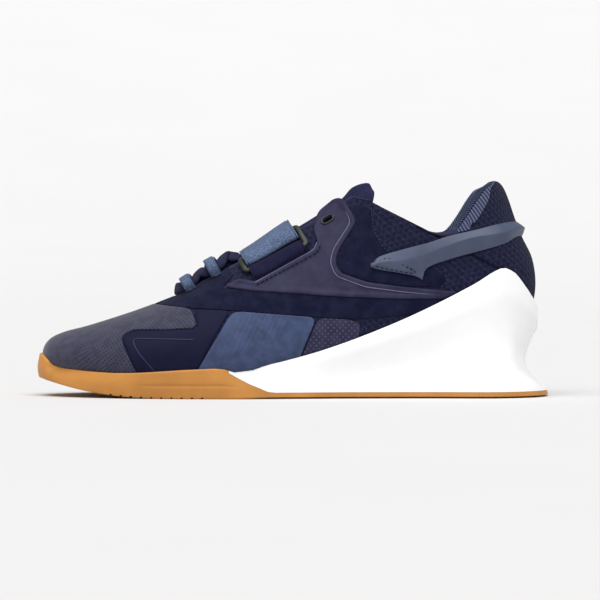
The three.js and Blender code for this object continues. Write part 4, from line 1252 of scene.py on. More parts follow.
def sole_body(name):
    """Ground edge, drawn-in side, rounded lip and the cup's inner wall and bed, as one closed body."""
    around = [(i / SOLE_STEPS, -1) for i in range(SOLE_STEPS + 1)]
    around += [(i / SOLE_STEPS, 1) for i in range(SOLE_STEPS - 1, 0, -1)]
    loops = []
    for inset, raised, lift in ((1, 1, 0), (0.45, 0.93, 0.12), (0.2, 0.5, 0.3), (0.06, 0.08, 0.62)):
        loop = []
        for t, side in around:
            # Behind the forefoot the thin rubber is cut back under its edge
            back = smooth(0.4, 0.48, (1 - math.cos(math.pi * t)) / 2)
            p = ground_edge(t, side, mix(EDGE_BEVEL * inset, UNDERCUT * raised, back))
            p.z += EDGE_BEVEL * mix(lift, min(lift * 2.2, 0.8), back)
            loop.append(p)
        loops.append(loop)
    for k in range(SOLE_RISES + 1):
        rise = k / SOLE_RISES
        waist = along(SOLE_RIB, 1, rise)
        loop = []
        for t, side in around:
            low = ground_edge(t, side, 0)
            low.z += EDGE_BEVEL
            high = rim_edge(t, side, RIM_WALL)
            high.z -= lip_drop(t)
            at = mix(low.x, high.x, rise) / SHOE_LENGTH + 0.5
            drawn = waist * WAIST_DEPTH * along(WAIST, 1, at)
            inward = Vector((0, -side, 0)).lerp(Vector((-1, 0, 0)), smooth(0.9, 1, at))
            if t >= 1:
                inward = Vector((-1, 0, 0))
            point = low.lerp(high, rise) + inward.normalized() * drawn
            # A soft crease runs along the forefoot wall, between the toe and the slanted end
            crease = math.exp(-(((point.z - CREASE_HEIGHT) / CREASE_BREADTH) ** 2))
            crease = crease * smooth(0.19, 0.24, at) * (1 - smooth(0.36, 0.4, at))
            point += inward.normalized() * CREASE_DEPTH * crease
            # The toe's nose and the forefoot wall are rolled, so their middles swell a little
            outward = (point - Vector((point.x * 0.9, 0, point.z))).normalized()
            point += outward * WALL_SWELL * math.sin(math.pi * rise) * (1 - smooth(0.38, 0.5, at))
            loop.append(point)
        loops.append(loop)
    for angle in (0.5, 1.05, 1.57):
        offset = RIM_WALL - LIP_ROUND * (1 - math.cos(angle))
        loop = [rim_edge(t, side, offset) for t, side in around]
        for p, (t, _) in zip(loop, around):
            p.z -= lip_drop(t) * (1 - math.sin(angle))
        loops.append(loop)
    loops.append([rim_edge(t, side, RIM_INNER) for t, side in around])
    end = heel_row(rim_height(SOLE_BACK) - 4)
    for share in (0.06, 0.2, 0.45, 0.75, 0.98):
        loop = []
        for t, side in around:
            (u, turn), _ = rim_place(t, side)
            loop.append(over(min(u, end), mix(turn, side * math.pi, share), BED_GAP))
        loops.append(loop)
    return loft(name, loops, "tpu_moulded_white", crease=SOLE_CREASE)


def side_prism(name, line, reach=90):
    """A prism whose outline is a polygon in x and z."""
    points = [Vector((x, y, z)) for y in (-reach, reach) for x, z in line]
    count = len(line)
    faces = [tuple(range(count)), tuple(range(2 * count - 1, count - 1, -1))]
    faces += [(i, (i + 1) % count, count + (i + 1) % count, count + i) for i in range(count)]
    return make(name, points, faces, "tpu_moulded_white", weld=False)


GROOVES = 10
GROOVE_START = 0.149
GROOVE_PITCH = 5.9
GROOVE_WIDTH = 1.3
GROOVE_DEPTH = 1.0


def finish_sole(piece, material, node, slot):
    piece.data.materials.clear()
    piece.data.materials.append(bpy.data.materials[material])
    piece.data.set_sharp_from_angle(angle=math.radians(SOLE_CREASE))
    settle(piece, [node], slot)


def build_sole():
    seam = [(along_x(x), z) for x, z in CUP_SEAM]
    top = [(along_x(1.05), 200), (along_x(0.373), 200)]
    wedge = sole_body("heel_wedge")
    cut(wedge, side_prism("wedge_region", [(x + 0.1, z + 0.1) for x, z in seam] + top), "INTERSECT")
    finish_sole(wedge, "tpu_moulded_white", "midsole", "white_plastic")

    rubber = sole_body("gum_sole")
    cut(rubber, side_prism("cup_region", seam + top), "DIFFERENCE")
    points, faces = [], []
    for i in range(GROOVES):
        x = along_x(GROOVE_START) + i * GROOVE_PITCH
        floor = along(SPRING, 1, x / SHOE_LENGTH + 0.5) * TOE_SPRING
        low, high = floor - 3, floor + GROOVE_DEPTH
        half = GROOVE_WIDTH / 2
        start = len(points)
        ends, sides, levels = (x - half, x + half), (-90, 90), (low, high)
        points += [Vector((a, b, c)) for a in ends for b in sides for c in levels]
        box = ((0, 1, 3, 2), (4, 6, 7, 5), (0, 4, 5, 1), (2, 3, 7, 6), (0, 2, 6, 4), (1, 5, 7, 3))
        faces += [tuple(start + k for k in face) for face in box]
    cut(rubber, make("flex_grooves", points, faces, "gum_rubber_moulded", weld=False))
    finish_sole(rubber, "gum_rubber_moulded", "outsole", "gum_rubber")


# Upper


def throat_half(at):
    return along(THROAT, 1, at) * THROAT_HALF * math.sqrt(min(max((at + 0.03) / 0.05, 0), 1))


def collar_line():
    rows = [Vector(side_point(*p)) for p in COLLAR]
    steps = (len(rows) - 1) * 8
    return [Vector(catmull(rows, i * (len(rows) - 1) / steps)) for i in range(steps + 1)]


def pad_at(point):
    height = smooth(0.56, 0.78, point.z / COLLAR_HEIGHT)
    return COLLAR_PAD * height * smooth(0.67, 0.76, point.x / SHOE_LENGTH + 0.5)


def lowered_collar():
    """The collar line moved down into the shoe by the radius of its padded roll."""
    line = collar_line()
    moved = []
    for i, p in enumerate(line):
        way = (line[min(i + 1, len(line) - 1)] - line[max(i - 1, 0)]).normalized()
        radius = (UPPER_WALL + pad_at(Vector((p.x, 0, p.y)))) / 2
        moved.append(p + Vector((way.y, -way.x)) * radius)
    return moved


COLLAR_EDGE = lowered_collar()


def collar_turn(u):
    """Turn at which the collar line crosses a row, or 0."""
    top_x, top_z, sole_x, sole_z, _, _, _, widest, crown, base = section(u)
    sole, top = Vector((sole_x, sole_z)), Vector((top_x, top_z))
    best = None
    for a, b in zip(COLLAR_EDGE, COLLAR_EDGE[1:]):
        r, s = top - sole, b - a
        det = r.x * s.y - r.y * s.x
        if abs(det) < 1e-9:
            continue
        w = a - sole
        t = (w.x * s.y - w.y * s.x) / det
        k = (w.x * r.y - w.y * r.x) / det
        if 0 <= k <= 1 and -0.02 <= t <= 1:
            best = t if best is None else min(best, t)
    if best is None:
        return 0.0
    return turn_at(max(best, 0), widest, crown, base)


def throat_turn(u, side):
    if along_instep(on_last(u, 0)) < -0.03:
        return 0.0
    row = section(u)
    width = row[4] if side < 0 else row[5]
    turn = 0.3
    for _ in range(12):
        half = throat_half(along_instep(on_last(u, side * turn)))
        turn = mix(turn, math.asin(min(half / width, 0.98) ** (row[8] / 2)), 0.7)
    return turn


def edge_turn(u, side):
    return max(throat_turn(u, side), collar_turn(u))


OUTER_STEPS = 30
ROLL_STEPS = 8


def shell_rows():
    start = row_at_instep(-0.03, 0)
    rows = [start * i / 40 for i in range(41)]
    rows += [start + 0.7 * (k / 7) ** 2 for k in range(1, 8)]
    count = 70
    rows += [mix(start + 0.7, TOP_ROW, k / count) for k in range(1, count + 1)]
    return rows


def build_upper():
    rows = shell_rows()
    points, uvs, faces, marks = [], [], [], []
    columns = 2 * (OUTER_STEPS + 1) + ROLL_STEPS - 1
    for side in (-1, 1):
        start = len(points)
        for u in rows:
            edge = edge_turn(u, side)
            turns = [mix(math.pi, edge, j / OUTER_STEPS) for j in range(OUTER_STEPS + 1)]
            outer = [over(u, side * t, 0) for t in turns]
            inner = [on_last(u, side * t) for t in turns]
            depths = [-UPPER_WALL - pad_at(p) for p in inner]
            inner = [p + last_normal(u, side * t) * d for p, t, d in zip(inner, turns, depths)]
            centre = (outer[-1] + inner[-1]) / 2
            radius = (outer[-1] - inner[-1]).length / 2
            out = (outer[-1] - inner[-1]).normalized()
            off = outer[-1] - outer[-2]
            off = (off - out * off.dot(out)).normalized()
            roll = []
            for k in range(1, ROLL_STEPS):
                angle = math.pi * k / ROLL_STEPS
                lift = off * math.sin(angle) if edge > 1e-6 else Vector((0, 0, 0))
                roll.append(centre + (out * math.cos(angle) + lift) * radius)
            points += outer + roll + inner[::-1]
            marks += [0.0] * (columns - OUTER_STEPS - 3) + [1.0] * (OUTER_STEPS + 3)
            uvs += [heel_map(p) for p in points[-columns:]]
        for i in range(len(rows) - 1):
            closed = edge_turn(rows[i], side) < 1e-6 and edge_turn(rows[i + 1], side) < 1e-6
            for j in range(columns - 1):
                if closed and OUTER_STEPS <= j < OUTER_STEPS + ROLL_STEPS:
                    continue
                a = start + i * columns + j
                faces.append((a, a + 1, a + 1 + columns, a + columns))
        # The heel tab's top, rolled over like the collar
        u = rows[-1]
        row = start + (len(rows) - 1) * columns
        rolled = row + OUTER_STEPS
        previous = None
        for j in range(OUTER_STEPS + 1):
            outer, inner = points[row + j], points[row + columns - 1 - j]
            centre = (outer + inner) / 2
            radius = (outer - inner).length / 2
            out = (outer - inner).normalized()
            turn = mix(math.pi, edge_turn(u, side), j / OUTER_STEPS)
            up = on_last(u, side * turn) - on_last(u - 0.3, side * turn)
            up = (up - out * up.dot(out)).normalized()
            corner = points[rolled + ROLL_STEPS // 2] - (points[rolled] + points[rolled + ROLL_STEPS]) / 2
            share = smooth(0.5, 1, j / OUTER_STEPS)
            off = up.lerp(corner.normalized(), share).normalized()
            arc = [row + j]
            for k in range(1, ROLL_STEPS):
                angle = math.pi * k / ROLL_STEPS
                arc.append(len(points))
                points.append(centre + (out * math.cos(angle) + off * math.sin(angle)) * radius)
                uvs.append(heel_map(points[-1]))
                marks.append(0.0 if 2 * k < ROLL_STEPS else 1.0)
            arc.append(row + columns - 1 - j)
            if previous:
                faces += [(previous[k], previous[k + 1], arc[k + 1], arc[k]) for k in range(ROLL_STEPS)]
            previous = arc
    finishes = ["polyester_knit_navy", "lining_brushed_navy"]
    shell = make("upper_shell", points, faces, finishes, uvs, marks=marks)
    inside_marks = shell.data.attributes["mark"].data
    for face in shell.data.polygons:
        face.material_index = int(all(inside_marks[k].value > 0.5 for k in face.vertices))
    cut(shell, eyelet_tool("eyelet_hole"))
    shell.data.shade_smooth()
    settle(shell, ["upper"], "navy_textile")


def eyelet_tool(name, length=6, width=3.4, reach=6):
    """An oval cutter through the top lace hole."""
    point, out = over_instep(*EYELET, 0)
    across = out.cross(instep_line).normalized()
    way = across.cross(out)
    loops = []
    for depth in (-reach, reach):
        loop = []
        for k in range(24):
            angle = 2 * math.pi * k / 24
            x = math.cos(angle) * width / 2 + sign(math.cos(angle)) * (length - width) / 2
            loop.append(point + way * x + across * math.sin(angle) * width / 2 + out * depth)
        loops.append(loop)
    return loft(name, loops, "polyester_knit_navy")


# Panels

RIM_TUCK = 1.0


def clipped(outline, side):
    """A side outline in places, with what lies under the sole's edge moved up to it."""
    places = []
    for p in outline:
        floor = rim_height(p.x / SHOE_LENGTH + 0.5) - RIM_TUCK
        places.append(side_place(p.x, max(p.y, floor), side))
    return thinned(places)


def thinned(places):
    made = [places[0]]
    for place in places[1:]:
        if (on_last(*place) - on_last(*made[-1])).length > 0.35:
            made.append(place)
    if (on_last(*made[0]) - on_last(*made[-1])).length < 0.35:
        made.pop()
    return made


def wall_profile(wall, edge=0.35):
    return [(0, wall - edge), (edge * 0.35, wall - edge * 0.3), (edge, wall)]


def throat_edge_places(side, start, end, steps, inset=0.0):
    """Places along the throat's edge, from one share of its length to another."""
    ats = [mix(start, end, k / steps) for k in range(steps + 1)]
    return [instep_place(at, side * (throat_half(at) + inset) / THROAT_HALF) for at in ats]


# Front of the toe cap, just behind the sole's own front.
TOE_CAP_FRONT = SOLE_FRONT + 0.0004
TOE_STEPS = 40


def build_toe_cap():
    line = open_line(TOE_CAP, 4)
    lateral = clipped(line, -1)
    foot = on_last(*lateral[0]).x / SHOE_LENGTH + 0.5
    top = side_place(along_x(TOE_CAP_TOP), 200, -1)
    ridge = (top[0], 0.0)
    toe = []
    for k in range(TOE_STEPS + 1):
        at = mix(foot, TOE_CAP_FRONT, math.sin(math.pi / 2 * k / TOE_STEPS))
        height = rim_height(at) - RIM_TUCK
        toe.append(side_place(along_x(at), height, -1))
    outer = thinned(lateral)
    (u, turn), steps = outer[-1], 6
    over_toe = [(mix(u, ridge[0], k / steps), turn * (1 - k / steps)) for k in range(1, steps + 1)]
    places = thinned(toe[::-1] + outer + over_toe)
    mirrored = [(u, -turn) for u, turn in reversed(places)]
    ring = thinned(places + mirrored[1:])
    finish_name, profile = "microfibre_perforated_grey", wall_profile(0.9)
    piece = patch("toe_cap_panel", ring, finish_name, profile, grid=2.4, mapped=sole_map)
    settle(piece, ["toe_cap"], "grey_microfibre")


def build_vamp():
    low = open_line(VAMP_LOW[:-1] + VAMP_HIGH[:1], 3)
    high = open_line(VAMP_HIGH, 3)
    lower = clipped(low, -1)
    upper_part = clipped(high, -1)
    start_at = along_instep(on_last(*upper_part[-1]))
    throat = throat_edge_places(-1, max(start_at, 0.2), -0.03, 22, 0.9)
    top = side_place(along_x(0.219), 200, -1)
    tip = [(mix(top[0], lower[0][0], k / 5), lower[0][1] * k / 5) for k in range(5)]
    half = thinned(tip + lower + upper_part + throat)
    mirrored = [(u, -turn) for u, turn in reversed(half)]
    ring = thinned(half + mirrored)
    piece = patch("vamp_panel", ring, "nubuck_buffed_navy", wall_profile(0.85), grid=2.8)
    settle(piece, ["vamp"], "navy_textile")


def saddle_ribs(u, turn):
    """Fine ribs that run with the saddle's front edge."""
    point = on_last(u, turn)
    at = point.x - 0.5 * point.z
    low, high = -56, -22
    fade = smooth(low, low + 3, at) * (1 - smooth(high - 3, high, at))
    return 0.45 * (0.5 + 0.5 * math.sin(2 * math.pi * at / 3.0)) * fade


# Rolled edge of the quarter: how far in, how high, in millimetres.
WELT = [(0, 0.8), (0.25, 1.4), (0.55, 1.55), (2.2, 1.55), (2.6, 1.3), (3.0, 0.95)]
PANEL_CREASE = 50


def build_side_panels(side, name):
    ribbed, dotted = {"grid": 1.1, "relief": saddle_ribs}, {"mapped": side_map}
    smooth_film, thick, vented = wall_profile(0.8), wall_profile(1.1, 0.5), wall_profile(0.5, 0.25)
    for title, outline, corner, finish_name, profile, options, node, slot in (
        ("flank_panel_", FLANK, 4, "film_pressed_navy", smooth_film, {}, "flank_", "navy_film"),
        ("saddle_panel_", SADDLE, 5, "film_ribbed_slate", thick, ribbed, "saddle_", "slate_film"),
        ("vent_panel_", VENT, 4, "film_vented_mauve", vented, dotted, None, "mauve_film"),
        ("quarter_panel_", QUARTER, 3, "film_pressed_mauve", WELT, {}, "quarter_", "mauve_film"),
        ("rear_film_", REAR_FILM, 4, "nubuck_buffed_navy", wall_profile(0.4, 0.2), {}, None, "navy_film"),
    ):
        ring = clipped(rounded(outline, corner), side)
        piece = patch(title + name, ring, finish_name, profile, **options)
        if outline is QUARTER and side < 0:
            cut(piece, eyelet_tool("quarter_hole"))
            piece.data.shade_smooth()
            piece.data.set_sharp_from_angle(angle=math.radians(PANEL_CREASE))
        settle(piece, node and [node + name], slot)


def heel_row(z):
    """Row of the last that ends at a height on the middle of the heel."""
    low, high = INSTEP_ROW, LAST_ROW
    for _ in range(24):
        u = (low + high) / 2
        if on_last(u, math.pi).z < z:
            low = u
        else:
            high = u
    return low


def heel_back(z):
    """How far back the last stands at a height."""
    return on_last(heel_row(z), math.pi).x - 1e-3


def level_out(u, turn, middle=False):
    """The level way out of the last, straight back at the middle of the heel."""
    if middle:
        return Vector((1, 0, 0))
    out = last_normal(u, turn)
    return Vector((out.x, out.y, 0)).normalized()


BAND_STEPS = 90


def build_heel_band():
    """A moulded band with two facets that meet in a ridge, flat where it is sewn at both ends."""
    tip = HEEL_BAND[0][0]
    loops = []
    for i in range(-BAND_STEPS, BAND_STEPS + 1):
        side = -1 if i < 0 else 1
        share = 1 - math.cos(math.pi / 2 * abs(i / BAND_STEPS))
        back = heel_back(HEEL_BAND[-1][2] * INSTEP_HEIGHT)
        at = mix(back, along_x(tip), share) / SHOE_LENGTH + 0.5
        rear = smooth(0.35, 1, 1 - share)

        def place(z, offset):
            x = mix(along_x(at), mix(heel_back(z), along_x(tip), share), smooth(0.6, 1, 1 - share))
            u, turn = side_place(x, z, side)
            return on_last(u, turn) + level_out(u, turn, i == 0) * offset

        upper, ridge, lower = (along(HEEL_BAND, c, at) * INSTEP_HEIGHT for c in (1, 2, 3))
        round_off = min(0.4, (upper - lower) * 0.2)
        top_wall, peak, low_wall = mix(2.0, 0.7, rear), mix(3.3, 3.9, rear), mix(1.7, 0.6, rear)
        loops.append(
            [
                place(upper, -0.4),
                place(upper, top_wall - 0.5),
                place(upper - round_off * 0.35, top_wall - 0.12),
                place(upper - round_off, top_wall),
                place(mix(upper, ridge, 0.5), mix(top_wall, peak, 0.52)),
                place(ridge + 0.3, peak - 0.12),
                place(ridge - 0.3, peak - 0.12),
                place(mix(lower, ridge, 0.5), mix(low_wall, peak, 0.52)),
                place(lower + round_off, low_wall),
                place(lower + round_off * 0.35, low_wall - 0.12),
                place(lower, low_wall - 0.5),
                place(lower, -0.4),
                place(mix(lower, ridge, 0.5), -0.4),
                place(ridge, -0.4),
                place(mix(upper, ridge, 0.6), -0.4),
                place(mix(upper, ridge, 0.3), -0.4),
            ]
        )
    piece = loft("heel_band_moulding", loops, "tpu_moulded_slate", crease=7)
    settle(piece, ["heel_band"], "slate_rubber")


# Collar lining

# Ribs: first row, millimetres outside and inside the edge, and where the herringbone turns.
RIB_START = 17.6
RIB_OUTSIDE = 6.6
RIB_INSIDE = 11
RIB_SPINE = 0.7
RIB_STEPS = 260
RIB_COLUMNS = 64
BINDING_START = 9.2
BINDING_END = 18.0
BINDING_WALL = 0.62
BINDING_STEPS = 330
BINDING_COLUMNS = 16


def roll_frame(u, side):
    """The rolled edge of the shell at a row: its centre, how far round it goes, and a function that
    gives the surface and the way out of it at a distance across the edge."""
    edge = edge_turn(u, side)
    foot = on_last(u, side * edge)
    normal_there = last_normal(u, side * edge)
    depth = UPPER_WALL + pad_at(foot)
    centre, radius, out = foot - normal_there * depth / 2, depth / 2, normal_there
    off = foot - on_last(u, side * (edge + 0.03))
    off = (off - out * off.dot(out)).normalized()
    pace = max((on_last(u, side * (edge + 0.03)) - foot).length / 0.03, 5)

    def across(place):
        if place < 0:
            turn = side * (edge - place / pace)
            return on_last(u, turn), last_normal(u, turn)
        if place < math.pi * radius:
            angle = place / radius
            normal = out * math.cos(angle) + off * math.sin(angle)
            return centre + normal * radius, normal
        turn = side * (edge + (place - math.pi * radius) / pace)
        base, normal = on_last(u, turn), -last_normal(u, turn)
        return base + normal * (UPPER_WALL + pad_at(base)), normal

    return centre, math.pi * radius, across


def roll_rows(first, last, steps):
    """The rolled edge row by row on both sides: share of the run, row, reach, surface, way travelled."""
    for side in (-1, 1):
        travelled, before = 0, None
        for i in range(steps + 1):
            u = mix(first, last, i / steps)
            centre, reach, across = roll_frame(u, side)
            if before is not None:
                travelled += (centre - before).length
            before = centre
            yield i / steps, u, reach, across, travelled


def build_collar_ribs():
    """The ribbed lining that rolls over the back of the collar: cords in a herringbone."""
    points, marks = [], []
    for share, _, _, across, travelled in roll_rows(RIB_START, TOP_ROW, RIB_STEPS):
        low = -RIB_OUTSIDE * math.sqrt(smooth(-0.02, 0.2, share)) * mix(1, 0.25, smooth(0.6, 1, share))
        for j in range(RIB_COLUMNS + 1):
            place = mix(low, RIB_INSIDE, j / RIB_COLUMNS)
            base, normal = across(place)
            gap = place - RIB_SPINE
            lean, pitch, fullness = (0.65, 1.9, 0.6) if gap < 0 else (0.7, 1.6, 2.5)
            wave = 0.5 + 0.5 * math.sin(2 * math.pi * (travelled + abs(gap) * lean) / pitch)
            cord = wave**fullness * smooth(0.05, 0.5, abs(gap))
            fade = min(max((place - low) / 0.7, 0), 1) * min(max((RIB_INSIDE - place) / 0.8, 0), 1)
            fade *= min(share / 0.02, 1)
            points.append(base + normal * ((0.25 + 0.6 * cord) * fade - 0.05))
            marks.append(cord * fade)
    size = (RIB_STEPS + 1, RIB_COLUMNS + 1)
    faces = quads(*size) + quads(*size, start=len(points) // 2)
    piece = make("collar_rib_lining", points, faces, "lining_ribbed_slate", weld=False, marks=marks)
    settle(piece, None, "slate_webbing")


def build_collar_binding():
    """A folded tape along the throat and the collar, up to the ribbed lining."""
    points, uvs = [], []
    for _, u, reach, across, travelled in roll_rows(BINDING_START, BINDING_END, BINDING_STEPS):
        low = mix(-1.4, -2.3, smooth(14.5, 15.5, u))
        high = min(reach + 0.8, 5.5)
        for j in range(BINDING_COLUMNS + 1):
            share = j / BINDING_COLUMNS
            base, normal = across(mix(low, high, share))
            lift = min(1, share * 8, (1 - share) * 8)
            points.append(base + normal * (BINDING_WALL * math.sqrt(lift) - 0.08))
            uvs.append((travelled, mix(low, high, share)))
    size = (BINDING_STEPS + 1, BINDING_COLUMNS + 1)
    faces = quads(*size) + quads(*size, start=len(points) // 2)
    piece = make("collar_binding", points, faces, "tape_folded_navy", uvs, weld=False)
    settle(piece, None, "navy_webbing")


# Tongue, foot bed, strap and laces


TONGUE_HALF = 25
TONGUE_WALL = 3.6
TONGUE_PAD = 3.4
TONGUE_CROWN = 3.6


def build_tongue():
    length_steps, width_steps = 70, 28
    loops, uvs = [], []
    for i in range(length_steps + 1):
        share = i / length_steps
        at = mix(-0.02, 1.145, 1 - (1 - share) ** 1.6)
        past = max(at - 1.04, 0) / 0.105
        end = math.sqrt(max(1 - past**2, 0.005))
        half = TONGUE_HALF / THROAT_HALF * mix(0.55, 1, smooth(-0.02, 0.5, at)) * mix(0.5, 1, end)
        thickness = (TONGUE_WALL + TONGUE_PAD * smooth(0.85, 1.02, at)) * end
        top_row, low_row = [], []
        for j in range(width_steps + 1):
            side = 2 * j / width_steps - 1
            middle = 1 - smooth(0.2, 0.5, abs(side))
            edge = 1 - abs(side) ** 6 * 0.6
            crown = TONGUE_CROWN * smooth(0, 0.06, at) * (1 - smooth(0.36, 0.42, at))
            crown *= 1 - smooth(0.12, 0.5, abs(side))
            bulge = middle * (1.3 + smooth(0.98, 1.06, at) * 1.5) + crown
            top = -UPPER_WALL - 0.75 + bulge - 3.5 * (1 - end)
            top_row.append(over_instep(at, side * half, top)[0])
            low_row.append(over_instep(at, side * half, top - thickness * edge)[0])
        loops.append(top_row + low_row[::-1])
        breadth = 2 * half * THROAT_HALF
        uvs += [(at * throat_length, breadth * j / width_steps) for j in range(width_steps + 1)] * 2
    piece = loft("tongue_pad", loops, "lining_brushed_navy", uvs)
    settle(piece, ["tongue"], "navy_textile")


def build_foot_bed():
    """The foot bed's top, dished, with its edge turned down to the lasting line."""
    rows, columns = 60, 16
    points, uvs = [], []
    for i in range(rows + 1):
        u = mix(1.2, 14.6, i / rows)
        bottom = section(u)
        for j in range(columns + 1):
            side = 2 * j / columns - 1
            turn = math.pi - abs(side) * 0.95
            base = on_last(u, math.copysign(turn, side) if side else math.pi)
            out = last_normal(u, math.copysign(turn, side) if side else math.pi)
            point = base - out * (UPPER_WALL + 0.3)
            point.z = max(point.z, bottom[3] + UPPER_WALL + 3.6 + 1.2 * side**2)
            points.append(point)
            uvs.append((point.x, point.y))
    piece = make("foot_bed", points, quads(rows + 1, columns + 1), "lining_brushed_navy", uvs)
    thick = piece.modifiers.new("thick", "SOLIDIFY")
    thick.thickness = 0.0025
    bpy.context.view_layer.objects.active = piece
    bpy.ops.object.modifier_apply(modifier=thick.name)
    settle(piece, ["insole"], "foam")


def build_strap():
    for name, path, wall, finish_name, node, slot in (
        ("instep_strap", STRAP_PATH, STRAP_WALL, "webbing_woven_slate", "strap", "slate_webbing"),
        (
            "ring_webbing", WEBBING_PATH, WEBBING_WALL,
            "webbing_elastic_navy", "strap_webbing", "navy_webbing",
        ),
    ):
        piece = strip(name, path, wall, STRAP_FRONT, STRAP_BACK, STRAP_COLUMNS, finish_name, sagged)
        settle(piece, [node], slot)


def build_ring():
    """A rectangular ring, drawn as one closed rounded bar over the instep."""
    margin = (RING_MARGIN - RING_BAR / 2) / throat_length
    front, back = STRAP_FRONT - margin, STRAP_BACK + margin
    corners = [
        Vector((front, *STRAP_BAR)),
        Vector((back, *STRAP_BAR)),
        Vector((back, *WEBBING_BAR)),
        Vector((front, *WEBBING_BAR)),
    ]
    path = []
    for i, p in enumerate(corners):
        before, after = corners[i - 1], corners[(i + 1) % 4]
        gap_before, gap_after = (
            RING_CORNER / max(abs(p.x - q.x) * throat_length, abs(p.y - q.y) * THROAT_HALF)
            for q in (before, after)
        )
        start, end = p.lerp(before, gap_before), p.lerp(after, gap_after)
        path += curve(start, p, end, 5)
        path += [end.lerp(after.lerp(p, gap_after), k / 12) for k in range(1, 12)]
    placed = [over_instep(*sagged(p.x, p.y, p.z)) for p in path]
    count = len(placed)
    points = []
    sides = 12
    for i, (point, out) in enumerate(placed):
        way = (placed[(i + 1) % count][0] - placed[i - 1][0]).normalized()
        across = out.cross(way).normalized()
        up = way.cross(across)
        for k in range(sides):
            angle = 2 * math.pi * (k + 0.5) / sides
            c, s = math.cos(angle), math.sin(angle)
            x = sign(c) * abs(c) ** (2 / RING_SQUARENESS) * RING_BREADTH / 2
            y = sign(s) * abs(s) ** (2 / RING_SQUARENESS) * RING_BAR / 2
            points.append(point + across * x + up * y)
    faces = quads(count, sides, closed=True, looped=True)
    piece = make("instep_ring", points, faces, "acetal_moulded_olive", crease=50)
    settle(piece, ["strap_ring"], "ring_plastic")


def build_loops():
    for number, (at, height) in enumerate(LOOPS, 1):
        for side, name in ((-1, "lateral"), (1, "medial")):
            path = [(side * x, share * height) for x, share in LOOP_PATH]
            if side > 0:
                path = path[::-1]
            half = LOOP_WIDTH / 2 / throat_length
            front, back, finish_name = at - half, at + half, "webbing_woven_slate"
            title = f"webbing_loop_{name}_{number}"
            piece = strip(title, path, WEBBING_WALL, front, back, LOOP_COLUMNS, finish_name)
            settle(piece, [f"lace_loop_{name}_{number}"], "slate_webbing")


def build_laces():
    halves = []
    rows = LACE_PATH
    steps = 110
    for side in (-1, 1):
        centres, outs = [], []
        for i in range(steps + 1):
            at, across, height, lean, tip = catmull(rows, i * (len(rows) - 1) / steps)
            # One half passes over the other where they cross
            crossing = math.exp(-((at - 0.177) / 0.012) ** 2) + math.exp(-((at - 0.33) / 0.012) ** 2)
            point, out = over_instep(at, side * across, height + side * 1.2 * crossing)
            # Beside the throat the lace turns on its edge, flat side outwards
            angle = math.radians(LACE_LEAN) * lean * max(min(side * across / 0.6, 1), -1)
            centres.append(point)
            tip = math.radians(tip)
            out = out * math.cos(tip) - instep_line * math.sin(tip)
            outs.append(out * math.cos(angle) + Vector((0, math.sin(angle), 0)))
        width, thickness = chosen().lace_width / MM, chosen().lace_thickness / MM
        halves.append(tube("lace_half", centres, outs, width, thickness, "lace_braided_navy", LACE_SIDES))
    piece = joined("flat_lace", halves)
    settle(piece, ["laces"], "navy_webbing")


def surface_line(points, side, height, corner=2, step=0.8, level=False):
    """Points and ways out along a side outline, raised over the last."""
    made = []
    for p in open_line(points, corner, step):
        u, turn = side_place(p.x, p.y, side)
        out = level_out(u, turn) if level else last_normal(u, turn)
        made.append((on_last(u, turn) + out * height, out))
    return made


LIP_SEAM = ((0.4255, 0.5535), (0.5435, 0.7115), (0.5505, 0.7515))
ANCHOR_SEAM = (
    (0.6585, 0.65), (0.669, 0.678), (0.684, 0.69), (0.738, 0.621), (0.733, 0.611), (0.7, 0.624),
    (0.666, 0.641), (0.6585, 0.65),
)
MESH_ARC_FRONT = ((0.652, 0.936), (0.655, 0.832), (0.675, 0.737), (0.697, 0.695))
MESH_ARC_BACK = ((0.793, 0.607), (0.8, 0.572), (0.785, 0.545))


BEAD_WIDTH = 0.7
BEAD_RISE = 0.5
# Welded beads: on the flank inside its front and top edges, and on the quarter inside its edges.
FLANK_BEAD = ((0.2365, 0.13), (0.2025, 0.225), (0.191, 0.281), (0.2, 0.29), (0.31, 0.287))
QUARTER_BEAD = (
    (0.597, 0.957), (0.613, 0.86), (0.5785, 0.727), (0.572, 0.66), (0.583, 0.596), (0.64, 0.5435),
    (0.716, 0.519), (0.79, 0.5035),
)
LIP_BEAD = ((0.4275, 0.5595), (0.5415, 0.7215), (0.5475, 0.757))


def build_beads():
    """Fine beads where the films are welded."""
    # The beads' finishes are painted lighter than their films: a painted highlight along the welds
    for name, line, height, finish_name, slot in (
        ("flank_bead", FLANK_BEAD, 0.85, "film_welded_navy", "navy_film"),
        ("quarter_bead", QUARTER_BEAD, 1.15, "film_welded_mauve", "mauve_film"),
        ("lip_bead", LIP_BEAD, 1.5, "film_welded_mauve", "mauve_film"),
    ):
        sides = []
        for side in (-1, 1):
            run = surface_line(line, side, height, 3, 0.9)
            centres, outs = zip(*run)
            sides.append(tube(name, centres, outs, BEAD_WIDTH, BEAD_RISE, finish_name, 8))
        settle(joined(name, sides), None, slot)


def build_stitching():
    lines, dark = [], []
    for side in (-1, 1):
        if side < 0:
            dark.append(surface_line([(x + 0.004, z - 0.006) for x, z in LIP_SEAM], side, 1.6))
        dark.append(surface_line(ANCHOR_SEAM, side, 2.5, 1.5, level=True))
        lines.append(surface_line(MESH_ARC_FRONT, side, 0.45, 3))
        lines.append(surface_line(MESH_ARC_BACK, side, 0.45, 3))
    length = chosen().stitch_length / MM
    seams = stitches("overlay_stitching", dark, "thread_bonded_navy", length, 0.8, 0.3)
    settle(seams, None, "navy_webbing")
    arcs = stitches("quarter_stitching", lines, "thread_bonded_slate", length * 0.8, 0.5, 0.2)
    settle(arcs, None, "slate_webbing")


